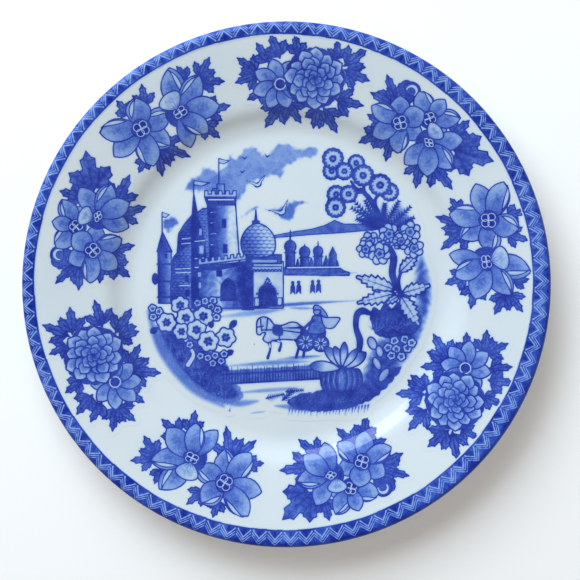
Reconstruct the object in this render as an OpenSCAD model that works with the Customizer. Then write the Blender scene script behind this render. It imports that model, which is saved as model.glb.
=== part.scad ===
// Souvenir plate: a round earthenware plate with a foot ring, a clear glaze over a white body,
// and blue transfer prints, which are a round view in the well, nine flower sprays on the rim
// and a patterned band at the lip. The plate lies face up with its foot ring on z = 0.

/* [Plate] */
// Diameter over the glazed lip
plate_d = 210; // [206:1:216]
// Thickness of the fired clay wall
wall_t = 3.6; // [3:0.2:4.4]
// Radius of the flat well
well_r = 60; // [58:1:61]
// Radius of the curve that rises out of the well
cove_r = 16; // [15:1:18]
// Steepest slope between the well and the rim
cove_slope = 36; // [33:1:39]
// Radius of the shoulder where the rim begins
shoulder_r = 14; // [12:1:16]
// Upward slope of the rim
rim_slope = 12; // [9:1:13]

/* [Foot ring] */
// Height of the foot ring under the floor
foot_h = 3.2; // [2.4:0.2:4]
// Outer radius of the foot ring where it meets the wall
foot_r = 64; // [63:0.5:66]
// Width of the foot ring at its root
foot_w = 5.4; // [4.8:0.2:6]
// Width of the bare face that the plate stands on
bearing_w = 1.6; // [1.2:0.2:2]
// Height at which the glaze stops above the bearing face
glaze_line = 1.2; // [0.8:0.2:1.6]

/* [Glaze and prints] */
// Thickness of the glaze
glaze_t = 0.3; // [0.2:0.1:0.5]
// Thickness of a print
print_t = 0.1; // [0.06:0.02:0.2]
// How far the view's outline stays inside the well
view_gap = 0.3; // [0.2:0.1:4]
// How far the view was laid off the plate's axis, across and up
view_off = [1.3, 3.5]; // [0:0.1:3.5]
// Width of the lip band, seen from above
band_w = 6; // [5.5:0.5:7]
// How far the lip band was laid off the plate's axis, across and up
band_off = [-1.1, 1.2]; // [-1.2:0.1:1.2]
// How far the middle of a flower spray lies inside the lip
spray_in = 24; // [23.5:0.5:25]
// How far the flower border was laid off the plate's axis, across and up
border_off = [0, 1.5]; // [0:0.1:1.5]
// Angles of the three anemone sprays, as laid by hand
anemone_at = [126, 246, 11]; // [0:1:359]
// Angles of the three bud sprays
bud_at = [163, 286, 48]; // [0:1:359]
// Angles of the three dahlia sprays
dahlia_at = [204, 329, 86]; // [0:1:359]
// Radius of the mark under the plate
mark_r = 11; // [8:1:16]

/* [Hidden] */
$fn = 96;

lip_r = wall_t / 2;
floor_z = foot_h + wall_t;              // bare clay face of the well
cove_z = floor_z + cove_r;              // height of the cove's centre
shoulder_x = well_r + (cove_r + shoulder_r) * sin(cove_slope);
shoulder_z = cove_z - (cove_r + shoulder_r) * cos(cove_slope);
lip_x = plate_d / 2 - glaze_t - lip_r;
rim_mid_r = shoulder_r - lip_r;         // shoulder radius at the middle of the wall
lip_z = shoulder_z + rim_mid_r * cos(rim_slope)
      + (lip_x - shoulder_x + rim_mid_r * sin(rim_slope)) * tan(rim_slope);
foot_in = foot_r - foot_w;
bearing_x = foot_r - foot_w / 2;        // middle of the bearing face
foot_chamfer = 0.8;
band_r = plate_d / 2 - band_w;          // inner edge of the lip band
spray_r = plate_d / 2 - spray_in;
skin_end = band_r - 3;                  // outermost radius of the skin that the sprays are cut from
scallops = 14;                          // round the view's outline
scallop_r = 8;
view_r = well_r - norm(view_off) - view_gap - scallop_r / 2;
white = "whitesmoke";
ink = "royalblue";

// Points along an arc round [x, z], from angle a to angle b
function arc(x, z, r, a, b, n = 8) =
    [for (i = [0:n]) let (t = a + (b - a) * i / n) [x + r * cos(t), z + r * sin(t)]];

// The plate's upper face and lip, a distance d outside the clay, from the well outwards
function rise(d) = concat(
    arc(well_r, cove_z, cove_r - d, -90, cove_slope - 90),
    arc(shoulder_x, shoulder_z, shoulder_r + d, 90 + cove_slope, 90 + rim_slope));
function lip(d) = arc(lip_x, lip_z, lip_r + d, 90 + rim_slope, rim_slope - 90, 14);

// The plate's back, a distance d outside the clay, from the rim in to the foot ring
function back(d) = concat(
    arc(shoulder_x, shoulder_z, shoulder_r - wall_t - d, 90 + rim_slope, 90 + cove_slope),
    arc(well_r, cove_z, cove_r + wall_t + d, cove_slope - 90,
        -acos((foot_r + d - well_r) / (cove_r + wall_t + d))));

// The foot ring's outer and inner flank at height z, a distance d outside the clay
function flank_out(z, d) =
    [foot_r + d - (foot_r - bearing_x - bearing_w / 2 - foot_chamfer) * (1 - z / foot_h), z];
function flank_in(z, d) =
    [foot_in - d + (bearing_x - foot_in - bearing_w / 2 - foot_chamfer) * (1 - z / foot_h), z];

module clay_body() {
    color(white) rotate_extrude() polygon(concat(
        [[0, floor_z]], rise(0), lip(0), back(0),
        [flank_out(foot_chamfer, 0),
         [bearing_x + bearing_w / 2, 0],
         [bearing_x - bearing_w / 2, 0],
         flank_in(foot_chamfer, 0),
         [foot_in, foot_h],
         [0, foot_h]]));
}

// Over the face, round the lip and down the back to the foot ring's outer flank
module face_glaze() {
    inside = concat([[0, floor_z]], rise(0), lip(0), back(0), [flank_out(glaze_line, 0)]);
    outside = concat([[0, floor_z + glaze_t]], rise(glaze_t), lip(glaze_t), back(glaze_t),
                     [flank_out(glaze_line, glaze_t)]);
    color("white") rotate_extrude() polygon(concat(outside, reversed(inside)));
}

// Under the floor, inside the foot ring
module foot_glaze() {
    color("white") rotate_extrude() polygon([
        [0, foot_h], [foot_in, foot_h], flank_in(glaze_line, 0),
        flank_in(glaze_line, glaze_t), [foot_in - glaze_t, foot_h - glaze_t],
        [0, foot_h - glaze_t]]);
}

function reversed(list) = [for (i = [len(list) - 1:-1:0]) list[i]];

// The layer that a print fills: a skin on the glazed rim and shoulder
module rim_skin() {
    rotate_extrude() polygon(concat(
        rise(glaze_t), [face_point(skin_end, glaze_t), face_point(skin_end, glaze_t + print_t)],
        reversed(rise(glaze_t + print_t))));
}

// A point on the straight rim at radius x, a distance d outside the clay
function face_point(x, d) =
    [x, shoulder_z + (shoulder_r + d) / cos(rim_slope) + (x - shoulder_x) * tan(rim_slope)];

// The round view: a cloudy, scalloped outline on the flat well
module view_print() {
    color(ink) translate([view_off.x, view_off.y, floor_z + glaze_t]) linear_extrude(print_t) {
        circle(view_r);
        for (i = [0:scallops - 1]) rotate(i * 360 / scallops) translate([view_r - scallop_r / 2, 0])
            circle(scallop_r);
    }
}

// The band that runs from the rim over the lip
module lip_band_print() {
    band_start = band_r - norm(band_off) - 0.2; // inside the off-centre inner edge all round
    band_end = 0;                       // the band stops at the widest part of the lip
    function edge(d) = concat([face_point(band_start, d)],
        arc(lip_x, lip_z, lip_r + d, 90 + rim_slope, band_end, 10));
    color(ink) difference() {
        rotate_extrude() polygon(concat(edge(glaze_t), reversed(edge(glaze_t + print_t))));
        translate([band_off.x, band_off.y, 0]) cylinder(h = plate_d, r = band_r);
    }
}

// An open flower of round petals
module flower(x, y, r, petals) {
    translate([x, y]) {
        circle(r * 0.6);
        for (i = [0:petals - 1]) rotate(i * 360 / petals) translate([r * 0.6, 0]) circle(r * 0.4);
    }
}

// A pointed leaf of a given length that starts at [x, y] and lies along angle a
module leaf(x, y, a, long) {
    bend_r = long * 0.72;
    sag = sqrt(bend_r * bend_r - long * long / 4);
    translate([x, y]) rotate(a) intersection() {
        translate([long / 2, sag]) circle(bend_r);
        translate([long / 2, -sag]) circle(bend_r);
    }
}

// Prints a spray's outline on the rim, at angle a; its local y points out to the lip
module on_rim(a) {
    color(ink) rotate(a - 90) intersection() {
        rotate(-90) rim_skin();         // the skin's seam stays away from the spray
        rotate(90 - a) translate([border_off.x, border_off.y, 0]) rotate(a - 90)
            translate([0, spray_r, floor_z]) linear_extrude(plate_d) children();
    }
}

// Two large anemones among leaves
module anemone_spray(a) {
    on_rim(a) {
        flower(-10, 1, 13, 6);
        flower(7, -1, 12, 7);
        leaf(-11, 9, 95, 8);
        leaf(-3, 8, 65, 8);
        leaf(16, 7, 85, 8);
        leaf(18, 5, 35, 9);
        leaf(18, 3, -30, 10);
        leaf(15, -7, -25, 9);
        leaf(11, -9, -65, 9);
        leaf(-6, -8, -50, 9);
        leaf(-10, -9, -100, 9);
    }
}

// Three smaller flowers with a curled bud
module bud_spray(a) {
    on_rim(a) {
        flower(-11, -4, 10, 7);
        flower(-4, 6, 9, 6);
        flower(5, -3, 10, 7);
        leaf(-14, 5, 120, 10);
        leaf(-19, 3, 150, 9);
        leaf(8, 6, 75, 9);
        leaf(11, 3, 40, 14);
        leaf(12, 0, 5, 12);
        leaf(11, -6, -20, 10);
        leaf(7, -10, -55, 8);
        leaf(-9, -10, -65, 8);
        leaf(-14, -10, -115, 9);
    }
}

// A star flower beside a dense dahlia
module dahlia_spray(a) {
    on_rim(a) {
        flower(-8, -2, 10, 8);
        flower(6, 1, 12, 10);
        leaf(-17, 2, 145, 11);
        leaf(-13, 6, 115, 9);
        leaf(-5, 8, 100, 9);
        leaf(12, 9, 85, 8);
        leaf(15, 8, 35, 11);
        leaf(16, 3, -5, 10);
        leaf(15, -6, -25, 9);
        leaf(11, -9, -55, 10);
        leaf(-6, -9, -90, 10);
        leaf(-13, -6, -125, 9);
    }
}

// A blank ring mark under the floor
module back_mark() {
    mark_w = 2.4;
    color(ink) translate([0, 0, foot_h - glaze_t - print_t]) linear_extrude(print_t) difference() {
        circle(mark_r);
        circle(mark_r - mark_w);
    }
}

clay_body();
face_glaze();
foot_glaze();
view_print();
lip_band_print();
for (i = [1:3]) {
    anemone_spray(anemone_at[i - 1]);
    bud_spray(bud_at[i - 1]);
    dahlia_spray(dahlia_at[i - 1]);
}
back_mark();
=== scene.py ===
import math
import bmesh
import bpy
import numpy as np
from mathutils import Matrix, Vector


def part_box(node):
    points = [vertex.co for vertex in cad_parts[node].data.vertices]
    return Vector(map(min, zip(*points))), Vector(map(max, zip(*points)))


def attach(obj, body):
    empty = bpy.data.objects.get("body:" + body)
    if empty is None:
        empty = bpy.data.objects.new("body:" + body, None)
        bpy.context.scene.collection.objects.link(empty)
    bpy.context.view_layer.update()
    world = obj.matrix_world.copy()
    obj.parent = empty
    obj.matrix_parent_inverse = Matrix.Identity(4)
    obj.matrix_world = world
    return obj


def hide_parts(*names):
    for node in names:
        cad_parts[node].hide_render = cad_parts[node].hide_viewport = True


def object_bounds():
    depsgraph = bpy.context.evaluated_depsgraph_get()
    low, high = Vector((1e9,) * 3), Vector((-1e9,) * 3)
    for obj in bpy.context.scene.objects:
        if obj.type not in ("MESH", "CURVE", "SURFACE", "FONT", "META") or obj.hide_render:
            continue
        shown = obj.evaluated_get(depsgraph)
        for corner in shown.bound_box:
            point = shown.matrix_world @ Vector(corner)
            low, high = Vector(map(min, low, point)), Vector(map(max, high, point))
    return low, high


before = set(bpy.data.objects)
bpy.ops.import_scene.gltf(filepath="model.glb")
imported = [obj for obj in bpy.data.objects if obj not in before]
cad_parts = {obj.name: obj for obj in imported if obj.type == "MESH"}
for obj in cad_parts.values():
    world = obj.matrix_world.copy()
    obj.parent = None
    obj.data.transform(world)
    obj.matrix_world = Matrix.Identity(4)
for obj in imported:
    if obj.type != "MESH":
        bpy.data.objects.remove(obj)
cadLow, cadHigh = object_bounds()
print("frame loaded")

mm = 0.001

# camera, light and floor
studio = {
    "distance": 0.62,          # metres from the plate's rim
    "tilt": 6,                 # degrees from straight down, towards the picture's top
    "aside": 0.0014,           # how far right of the plate's centre the camera looks
    "up": -0.0002,             # and how far above it
    "viewWidth": 0.2298,       # metres across the picture at the rim
    "sensor": 36,              # millimetres
    "floorWidth": 12,
    "floorColour": (0.97, 0.97, 0.97, 1),
    "floorRoughness": 0.9,
    "worldColour": (1.0, 0.91, 0.83, 1),
    "worldStrength": 0.40,
}
# each lamp is a rectangle that faces the plate; only a mirrored one shows in the glaze
lamps = {
    "windowLight": {"at": (-0.55, 1.05, 0.90), "size": (0.9, 0.7), "watts": 10,
                    "colour": (0.82, 0.945, 1.04), "mirrored": True},
    "skyLight": {"at": (-0.55, 1.05, 0.90), "size": (1.4, 1.1), "watts": 19.5,
                 "colour": (0.82, 0.945, 1.04), "mirrored": False},
    "roomLight": {"at": (0.9, -0.9, 1.2), "size": (0.9, 0.9), "watts": 2.5,
                  "colour": (0.85, 0.95, 1.0), "mirrored": False},
}


def makeCamera(s):
    # the lens is distance times sensor over the width that it sees at the rim
    data = bpy.data.cameras.new("camera")
    data.sensor_width = s["sensor"]
    data.lens = s["distance"] * s["sensor"] / s["viewWidth"]
    camera = bpy.data.objects.new("camera", data)
    bpy.context.scene.collection.objects.link(camera)
    tilt = math.radians(s["tilt"])
    target = Vector((s["aside"], s["up"], cadHigh.z))
    camera.location = target + s["distance"] * Vector((0, math.sin(tilt), math.cos(tilt)))
    camera.rotation_euler = (-tilt, 0, 0)
    bpy.context.scene.camera = camera


def makeLamp(name, at, size, watts, colour, mirrored):
    # an area lamp turned towards the plate's middle
    data = bpy.data.lights.new(name, "AREA")
    data.shape = "RECTANGLE"
    data.size, data.size_y = size
    data.energy = watts
    data.color = colour
    lamp = bpy.data.objects.new(name, data)
    bpy.context.scene.collection.objects.link(lamp)
    lamp.location = at
    lamp.rotation_euler = (-Vector(at)).to_track_quat("-Z", "Y").to_euler()
    lamp.visible_camera = False
    lamp.visible_glossy = mirrored


def makeFloor(s):
    # one square under the foot ring
    half = s["floorWidth"] / 2
    mesh = bpy.data.meshes.new("floor")
    corners = [(-half, -half, 0), (half, -half, 0), (half, half, 0), (-half, half, 0)]
    mesh.from_pydata(corners, [], [(0, 1, 2, 3)])
    floor = bpy.data.objects.new("floor", mesh)
    bpy.context.scene.collection.objects.link(floor)
    material = bpy.data.materials.new("floor")
    material.use_nodes = True
    shader = material.node_tree.nodes["Principled BSDF"]
    shader.inputs["Base Color"].default_value = s["floorColour"]
    shader.inputs["Roughness"].default_value = s["floorRoughness"]
    mesh.materials.append(material)


def makeWorld(s):
    # even light from all round
    world = bpy.data.worlds.new("world")
    world.use_nodes = True
    background = world.node_tree.nodes["Background"]
    background.inputs["Color"].default_value = s["worldColour"]
    background.inputs["Strength"].default_value = s["worldStrength"]
    bpy.context.scene.world = world


makeCamera(studio)
for name, lamp in lamps.items():
    makeLamp(name, **lamp)
makeFloor(studio)
makeWorld(studio)
bpy.context.scene.view_settings.view_transform = "Standard"
print("studio ready")

# the plate's form, in millimetres and degrees
form = {
    "wall": 3.6,
    "glaze": 0.3,
    "wellRadius": 60,
    "coveRadius": 16,
    "coveSlope": 36,
    "shoulderRadius": 14,
    "rimSlope": 12,
    "footHeight": 3.2,
    "footRadius": 64,
    "footWidth": 5.4,
    "bearingWidth": 1.6,
    "footChamfer": 0.8,
    "glazeLine": 1.2,
    "turns": 300,              # steps round the plate
    "soften": 0.5,             # how far the glaze rounds a corner
    "warp": 0.12,              # how far the firing bent the rim
}
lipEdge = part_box("face_glaze")[1].x / mm
floorZ = form["footHeight"] + form["wall"]
coveZ = floorZ + form["coveRadius"]
slopeA, slopeB = math.radians(form["coveSlope"]), math.radians(form["rimSlope"])
blendRadius = form["coveRadius"] + form["shoulderRadius"]
shoulderX = form["wellRadius"] + blendRadius * math.sin(slopeA)
shoulderZ = coveZ - blendRadius * math.cos(slopeA)
lipRadius = form["wall"] / 2
lipX = lipEdge - form["glaze"] - lipRadius
midRadius = form["shoulderRadius"] - lipRadius
lipZ = (shoulderZ + midRadius * math.cos(slopeB)
        + (lipX - shoulderX + midRadius * math.sin(slopeB)) * math.tan(slopeB))


def arc(x, z, radius, start, end, count=24):
    # points on a circle round (x, z), from one angle to another
    t = np.radians(np.linspace(start, end, count))
    return np.column_stack((x + radius * np.cos(t), z + radius * np.sin(t)))


def riseLine(d):
    # well to rim, a distance d outside the clay
    return np.vstack((arc(form["wellRadius"], coveZ, form["coveRadius"] - d, -90, form["coveSlope"] - 90),
                      arc(shoulderX, shoulderZ, form["shoulderRadius"] + d,
                          90 + form["coveSlope"], 90 + form["rimSlope"])))


def lipLine(d, end=None):
    # over the lip, from the rim's face to its back
    end = form["rimSlope"] - 90 if end is None else end
    return arc(lipX, lipZ, lipRadius + d, 90 + form["rimSlope"], end)


def backLine(d):
    # under the rim, in to the foot ring
    deep = form["coveRadius"] + form["wall"] + d
    meet = -math.degrees(math.acos((form["footRadius"] + d - form["wellRadius"]) / deep))
    return np.vstack((arc(shoulderX, shoulderZ, form["shoulderRadius"] - form["wall"] - d,
                          90 + form["rimSlope"], 90 + form["coveSlope"]),
                      arc(form["wellRadius"], coveZ, deep, form["coveSlope"] - 90, meet)))


def flank(z, d, side):
    # a point on the foot ring's outer (side 1) or inner (side -1) flank
    root = form["footRadius"] if side > 0 else form["footRadius"] - form["footWidth"]
    middle = form["footRadius"] - form["footWidth"] / 2
    toe = middle + side * (form["bearingWidth"] / 2 + form["footChamfer"])
    return [root + side * d - (root - toe) * (1 - z / form["footHeight"]), z]


def softened(line, radius, step=0.3):
    # walks the line in even steps and averages each point with its neighbours, so that corners round off
    length = np.concatenate(([0], np.cumsum(np.hypot(*np.diff(line, axis=0).T))))
    count = int(length[-1] / step)
    even = np.column_stack([np.interp(np.linspace(0, length[-1], count), length, c) for c in line.T])
    reach = max(1, round(2 * radius / step))
    weight = np.exp(-0.5 * (np.arange(-reach, reach + 1) * step / radius) ** 2)
    padded = np.vstack((2 * even[0] - even[reach:0:-1], even, 2 * even[-1] - even[-2:-reach - 2:-1]))
    return np.column_stack([np.convolve(c, weight / weight.sum(), "valid") for c in padded.T])


def thinned(line, bend=4.0, far=4.0):
    # leaves points out until the line has turned by so many degrees or run on by so many millimetres
    move = np.diff(line, axis=0)
    heading = np.degrees(np.unwrap(np.arctan2(move[:, 1], move[:, 0])))
    turn = np.concatenate(([0], np.abs(np.diff(heading)), [0]))
    walk = np.concatenate(([0], np.hypot(*move.T)))
    stride = np.floor(np.cumsum(turn / bend + walk / far))
    keep = np.concatenate(([True], np.diff(stride) > 0))
    keep[-1] = True
    return line[keep]


def warpAt(x, y):
    # the slow waves of a fired rim: two and three lobes round, growing with the square of the radius
    a, r = np.arctan2(y, x), np.hypot(x, y) / lipEdge
    return form["warp"] * r ** 2 * (0.6 * np.sin(2 * a + 0.6) + 0.4 * np.sin(3 * a + 2.1))


def makeMesh(name, points, faces):
    # a smooth mesh of quads from arrays in millimetres
    mesh = bpy.data.meshes.new(name)
    mesh.vertices.add(len(points))
    mesh.vertices.foreach_set("co", (points * mm).astype(np.float32).ravel())
    mesh.loops.add(faces.size)
    mesh.loops.foreach_set("vertex_index", faces.astype(np.int32).ravel())
    mesh.polygons.add(len(faces))
    mesh.polygons.foreach_set("loop_start", np.arange(0, faces.size, 4, dtype=np.int32))
    mesh.polygons.foreach_set("use_smooth", np.ones(len(faces), bool))
    mesh.update(calc_edges=True)
    mesh.validate()
    piece = bpy.data.objects.new(name, mesh)
    bpy.context.scene.collection.objects.link(piece)
    return piece


def gridFaces(rows, columns, wrapRows=False, wrapColumns=False):
    # quads between neighbouring rows and columns of a grid of points
    index = np.arange(rows * columns).reshape(rows, columns)
    if wrapRows:
        index = np.vstack((index, index[:1]))
    if wrapColumns:
        index = np.hstack((index, index[:, :1]))
    return np.stack((index[:-1, :-1], index[:-1, 1:], index[1:, 1:], index[1:, :-1]), -1).reshape(-1, 4)


def turned(name, profile):
    # revolves a closed profile about the plate's axis; points on the axis merge into poles
    a = np.linspace(0, 2 * math.pi, form["turns"], endpoint=False)
    x = profile[:, :1] * np.cos(a)
    y = profile[:, :1] * np.sin(a)
    z = profile[:, 1:] + warpAt(x, y)
    points = np.stack((x, y, z), -1).reshape(-1, 3)
    piece = makeMesh(name, points, gridFaces(len(profile), form["turns"], True, True))
    edit = bmesh.new()
    edit.from_mesh(piece.data)
    bmesh.ops.remove_doubles(edit, verts=edit.verts, dist=1e-6)
    bmesh.ops.dissolve_degenerate(edit, edges=edit.edges, dist=1e-7)
    bmesh.ops.recalc_face_normals(edit, faces=edit.faces)
    edit.to_mesh(piece.data)
    edit.free()
    return piece


def addInk(piece, used, **fields):
    # gives a print its ink: one number for each point and field
    for name, values in fields.items():
        layer = piece.data.attributes.new(name, "FLOAT", "POINT")
        layer.data.foreach_set("value", values.ravel()[used].astype(np.float32))


def finishPiece(piece, material, node):
    # hands a piece over in place of a CAD node
    piece.data.materials.append(material)
    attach(piece, "root")
    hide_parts(node)


# materials
class Wire:
    # a shader socket that takes part in sums; a sum of two values adds a Math node
    def __init__(self, tree, socket=None):
        self.tree, self.socket = tree, socket

    def node(self, kind, settings={}, sockets={}, out=0):
        # any other node, from its type, its settings and what its sockets hold or are linked to
        made = self.tree.nodes.new("ShaderNode" + kind)
        for name, value in settings.items():
            if name == "stops":
                ramp = made.color_ramp.elements
                while len(ramp) < len(value):
                    ramp.new(1)
                for stop, (place, colour) in zip(ramp, value):
                    stop.position, stop.color = place, (*colour, 1)
            else:
                setattr(made, name, value)
        for name, value in sockets.items():
            if isinstance(value, Wire):
                self.tree.links.new(value.socket, made.inputs[name])
            else:
                made.inputs[name].default_value = value
        return Wire(self.tree, made.outputs[out])

    def sum(self, operation, other, flip=False):
        a, b = (other, self) if flip else (self, other)
        return self.node("Math", {"operation": operation}, {0: a, 1: b})

    def __add__(self, other):
        return self.sum("ADD", other)

    def __radd__(self, other):
        return self.sum("ADD", other)

    def __sub__(self, other):
        return self.sum("SUBTRACT", other)

    def __rsub__(self, other):
        return self.sum("SUBTRACT", other, True)

    def __mul__(self, other):
        return self.sum("MULTIPLY", other)

    def __rmul__(self, other):
        return self.sum("MULTIPLY", other)

    def ramp(self, low, high):
        # 0 below low and 1 above high, with a smooth step between
        return self.node("MapRange", {"interpolation_type": "SMOOTHSTEP"},
                         {"Value": self, "From Min": low, "From Max": high})

    def noise(self, size, detail=2.0):
        # cloudy values from 0 to 1 whose patches are about size metres across
        place = self.node("TexCoord", out="Object")
        return self.node("TexNoise", {}, {"Vector": place, "Scale": 1 / size, "Detail": detail})


def blend(wire, factor, a, b, how="MIX"):
    # colour a turned into colour b by a factor, or multiplied by it
    return wire.node("Mix", {"data_type": "RGBA", "blend_type": how}, {0: factor, 6: a, 7: b}, 2)


def newMaterial(name):
    # an empty material, a wire to build with and its shader
    material = bpy.data.materials.new(name)
    material.use_nodes = True
    tree = material.node_tree
    shader = tree.nodes["Principled BSDF"]
    return material, Wire(tree), shader


def plug(shader, name, value):
    # links a wire, or sets a plain value
    if isinstance(value, Wire):
        value.tree.links.new(value.socket, shader.inputs[name])
    else:
        shader.inputs[name].default_value = value


glazeLook = {
    "white": (0.66, 0.73, 0.77, 1),
    "pool": (0.58, 0.69, 0.78, 1),       # a little bluer where the glaze lies thick
    "poolSize": 0.035,                   # metres across a cloud of it
    "poolShare": 0.35,
    "speck": (0.30, 0.24, 0.18, 1),
    "speckScale": 45.0,                  # cells to a metre; a speck sits in the middle of each
    "speckReach": (0.010, 0.020),        # its size as a share of the cell, and where it has faded out
    "speckShare": 0.7,
    "roughness": 0.09,
    "smear": 0.05,                       # how much the roughness wanders
    "index": 1.5,
    "peel": 0.00002,                     # depth of the glaze's orange peel, metres
    "peelSizes": (0.009, 0.0028),        # metres across its slow and its fine waves
}


def glazeColour(w):
    # white clay under a faintly blue glaze, in slow clouds, with a few kiln specks
    cloud = w.noise(glazeLook["poolSize"]).ramp(0.35, 0.75)
    base = blend(w, cloud * glazeLook["poolShare"], glazeLook["white"], glazeLook["pool"])
    place = w.node("TexCoord", out="Object")
    cell = w.node("TexVoronoi", {}, {"Vector": place, "Scale": glazeLook["speckScale"]})
    speck = 1 - cell.ramp(*glazeLook["speckReach"])
    return blend(w, speck * glazeLook["speckShare"], base, glazeLook["speck"])


def glazeSurface(w, shader, worn=0.0):
    # worn is how much duller than fresh glaze it is: rougher, and it mirrors less
    plug(shader, "Roughness", glazeLook["roughness"] + worn + (glazeLook["smear"] + worn) * w.noise(0.012))
    plug(shader, "IOR", glazeLook["index"])
    plug(shader, "Specular IOR Level", 0.5 - 2 * worn)
    slow, fine = glazeLook["peelSizes"]
    waves = w.noise(slow, 1.0) + 0.35 * w.noise(fine, 1.0)
    bump = w.node("Bump", {}, {"Height": waves, "Distance": glazeLook["peel"], "Strength": 1.0})
    plug(shader, "Normal", bump)


def makeGlaze():
    # the clear glaze where nothing is printed
    material, w, shader = newMaterial("clearGlaze")
    plug(shader, "Base Color", glazeColour(w))
    glazeSurface(w, shader)
    return material


inkLook = {
    "stops": [(0.0, (1, 1, 1)), (0.12, (0.72, 0.82, 0.96)), (0.3, (0.36, 0.50, 0.90)),
              (0.5, (0.14, 0.26, 0.75)), (0.75, (0.045, 0.10, 0.56)), (1.0, (0.008, 0.03, 0.36))],
    "lineTone": 0.92,
    "edge": 0.07,              # half the softness of a line's edge, mm
    "stipple": 0.22,           # how much the fine dots change a wash
    "spray": {"blotch": 0.10, "paleTone": 0.17, "worn": 0.0},
    "view": {"blotch": 0.12, "paleTone": 0.17, "worn": 0.0},
    "band": {"blotch": 0.18, "paleTone": 0.30, "worn": 0.16},
}


def makeInkedGlaze(name, blotch, paleTone, worn):
    # cobalt print under the glaze: a wash, dark lines and pale lines, each from the piece's own attributes
    material, w, shader = newMaterial(name)
    tone, dark, pale = [w.node("Attribute", {"attribute_name": field}, out="Fac")
                        for field in ("tone", "dark", "pale")]
    stipple = w.noise(0.0006, 1.0).ramp(0.25, 0.75)
    cloud = w.noise(0.007, 2.0).ramp(0.25, 0.75)
    wash = tone * (1 - blotch + inkLook["stipple"] * (stipple - 0.5) + 2 * blotch * cloud)
    line = inkLook["lineTone"] * (0.86 + 0.24 * cloud)
    isDark = dark.ramp(-inkLook["edge"], inkLook["edge"])
    isPale = pale.ramp(-inkLook["edge"], inkLook["edge"])
    ink = wash * (1 - isDark) + line * isDark
    ink = ink * (1 - isPale) + paleTone * isPale
    tint = w.node("ValToRGB", {"stops": inkLook["stops"]}, {"Fac": ink})
    plug(shader, "Base Color", blend(w, 1.0, glazeColour(w), tint, "MULTIPLY"))
    glazeSurface(w, shader, worn)
    return material


clayLook = {
    "dark": (0.62, 0.55, 0.44, 1),
    "light": (0.80, 0.75, 0.65, 1),
    "stain": (0.30, 0.24, 0.18, 1),      # dirt in the bare foot ring
    "stainShare": 0.55,
    "roughness": 0.75,
    "grain": 0.0008,                     # metres across a grain
    "grainDepth": 0.0001,
}


def makeClay():
    # grains between two clay colours, with stains in patches; the grain also roughens and dents it
    material, w, shader = newMaterial("bareClay")
    grain = w.noise(clayLook["grain"], 4.0)
    stain = w.noise(0.009, 2.0).ramp(0.45, 0.8)
    base = blend(w, grain, clayLook["dark"], clayLook["light"])
    plug(shader, "Base Color", blend(w, stain * clayLook["stainShare"], base, clayLook["stain"]))
    plug(shader, "Roughness", clayLook["roughness"] + 0.2 * grain)
    bump = w.node("Bump", {}, {"Height": grain, "Distance": clayLook["grainDepth"], "Strength": 1.0})
    plug(shader, "Normal", bump)
    return material


clearGlaze = makeGlaze()
bareClay = makeClay()
sprayInk = makeInkedGlaze("sprayInk", **inkLook["spray"])
viewInk = makeInkedGlaze("viewInk", **inkLook["view"])
bandInk = makeInkedGlaze("bandInk", **inkLook["band"])
print("materials ready")

# clay and glaze
glaze = form["glaze"]
footIn = form["footRadius"] - form["footWidth"]
bearing = form["footRadius"] - form["footWidth"] / 2
clayProfile = np.vstack((
    [[0, floorZ]], riseLine(0), lipLine(0), backLine(0),
    [flank(form["footChamfer"], 0, 1)],
    [[bearing + form["bearingWidth"] / 2, 0], [bearing - form["bearingWidth"] / 2, 0]],
    [flank(form["footChamfer"], 0, -1)],
    [[footIn, form["footHeight"]], [0, form["footHeight"]]]))
outerGlaze = np.vstack(([[0, floorZ + glaze]], riseLine(glaze), lipLine(glaze), backLine(glaze),
                        [flank(form["glazeLine"], glaze, 1)]))
innerGlaze = np.vstack(([[0, floorZ]], riseLine(0), lipLine(0), backLine(0),
                        [flank(form["glazeLine"], 0, 1)]))
faceLine = softened(outerGlaze, form["soften"])
footOuter = np.array([[0, form["footHeight"] - glaze], [footIn - glaze, form["footHeight"] - glaze],
                      flank(form["glazeLine"], glaze, -1)])
footInner = np.array([[0, form["footHeight"]], [footIn, form["footHeight"]],
                      flank(form["glazeLine"], 0, -1)])

claySolid = turned("clayBody", clayProfile)
finishPiece(claySolid, bareClay, "clay_body")
faceCoat = turned("faceGlaze", np.vstack((thinned(faceLine), innerGlaze[::-1])))
finishPiece(faceCoat, clearGlaze, "face_glaze")
footCoat = turned("footGlaze", np.vstack((thinned(softened(footOuter, form["soften"])), footInner[::-1])))
finishPiece(footCoat, clearGlaze, "foot_glaze")
print("clay and glaze turned")

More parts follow.
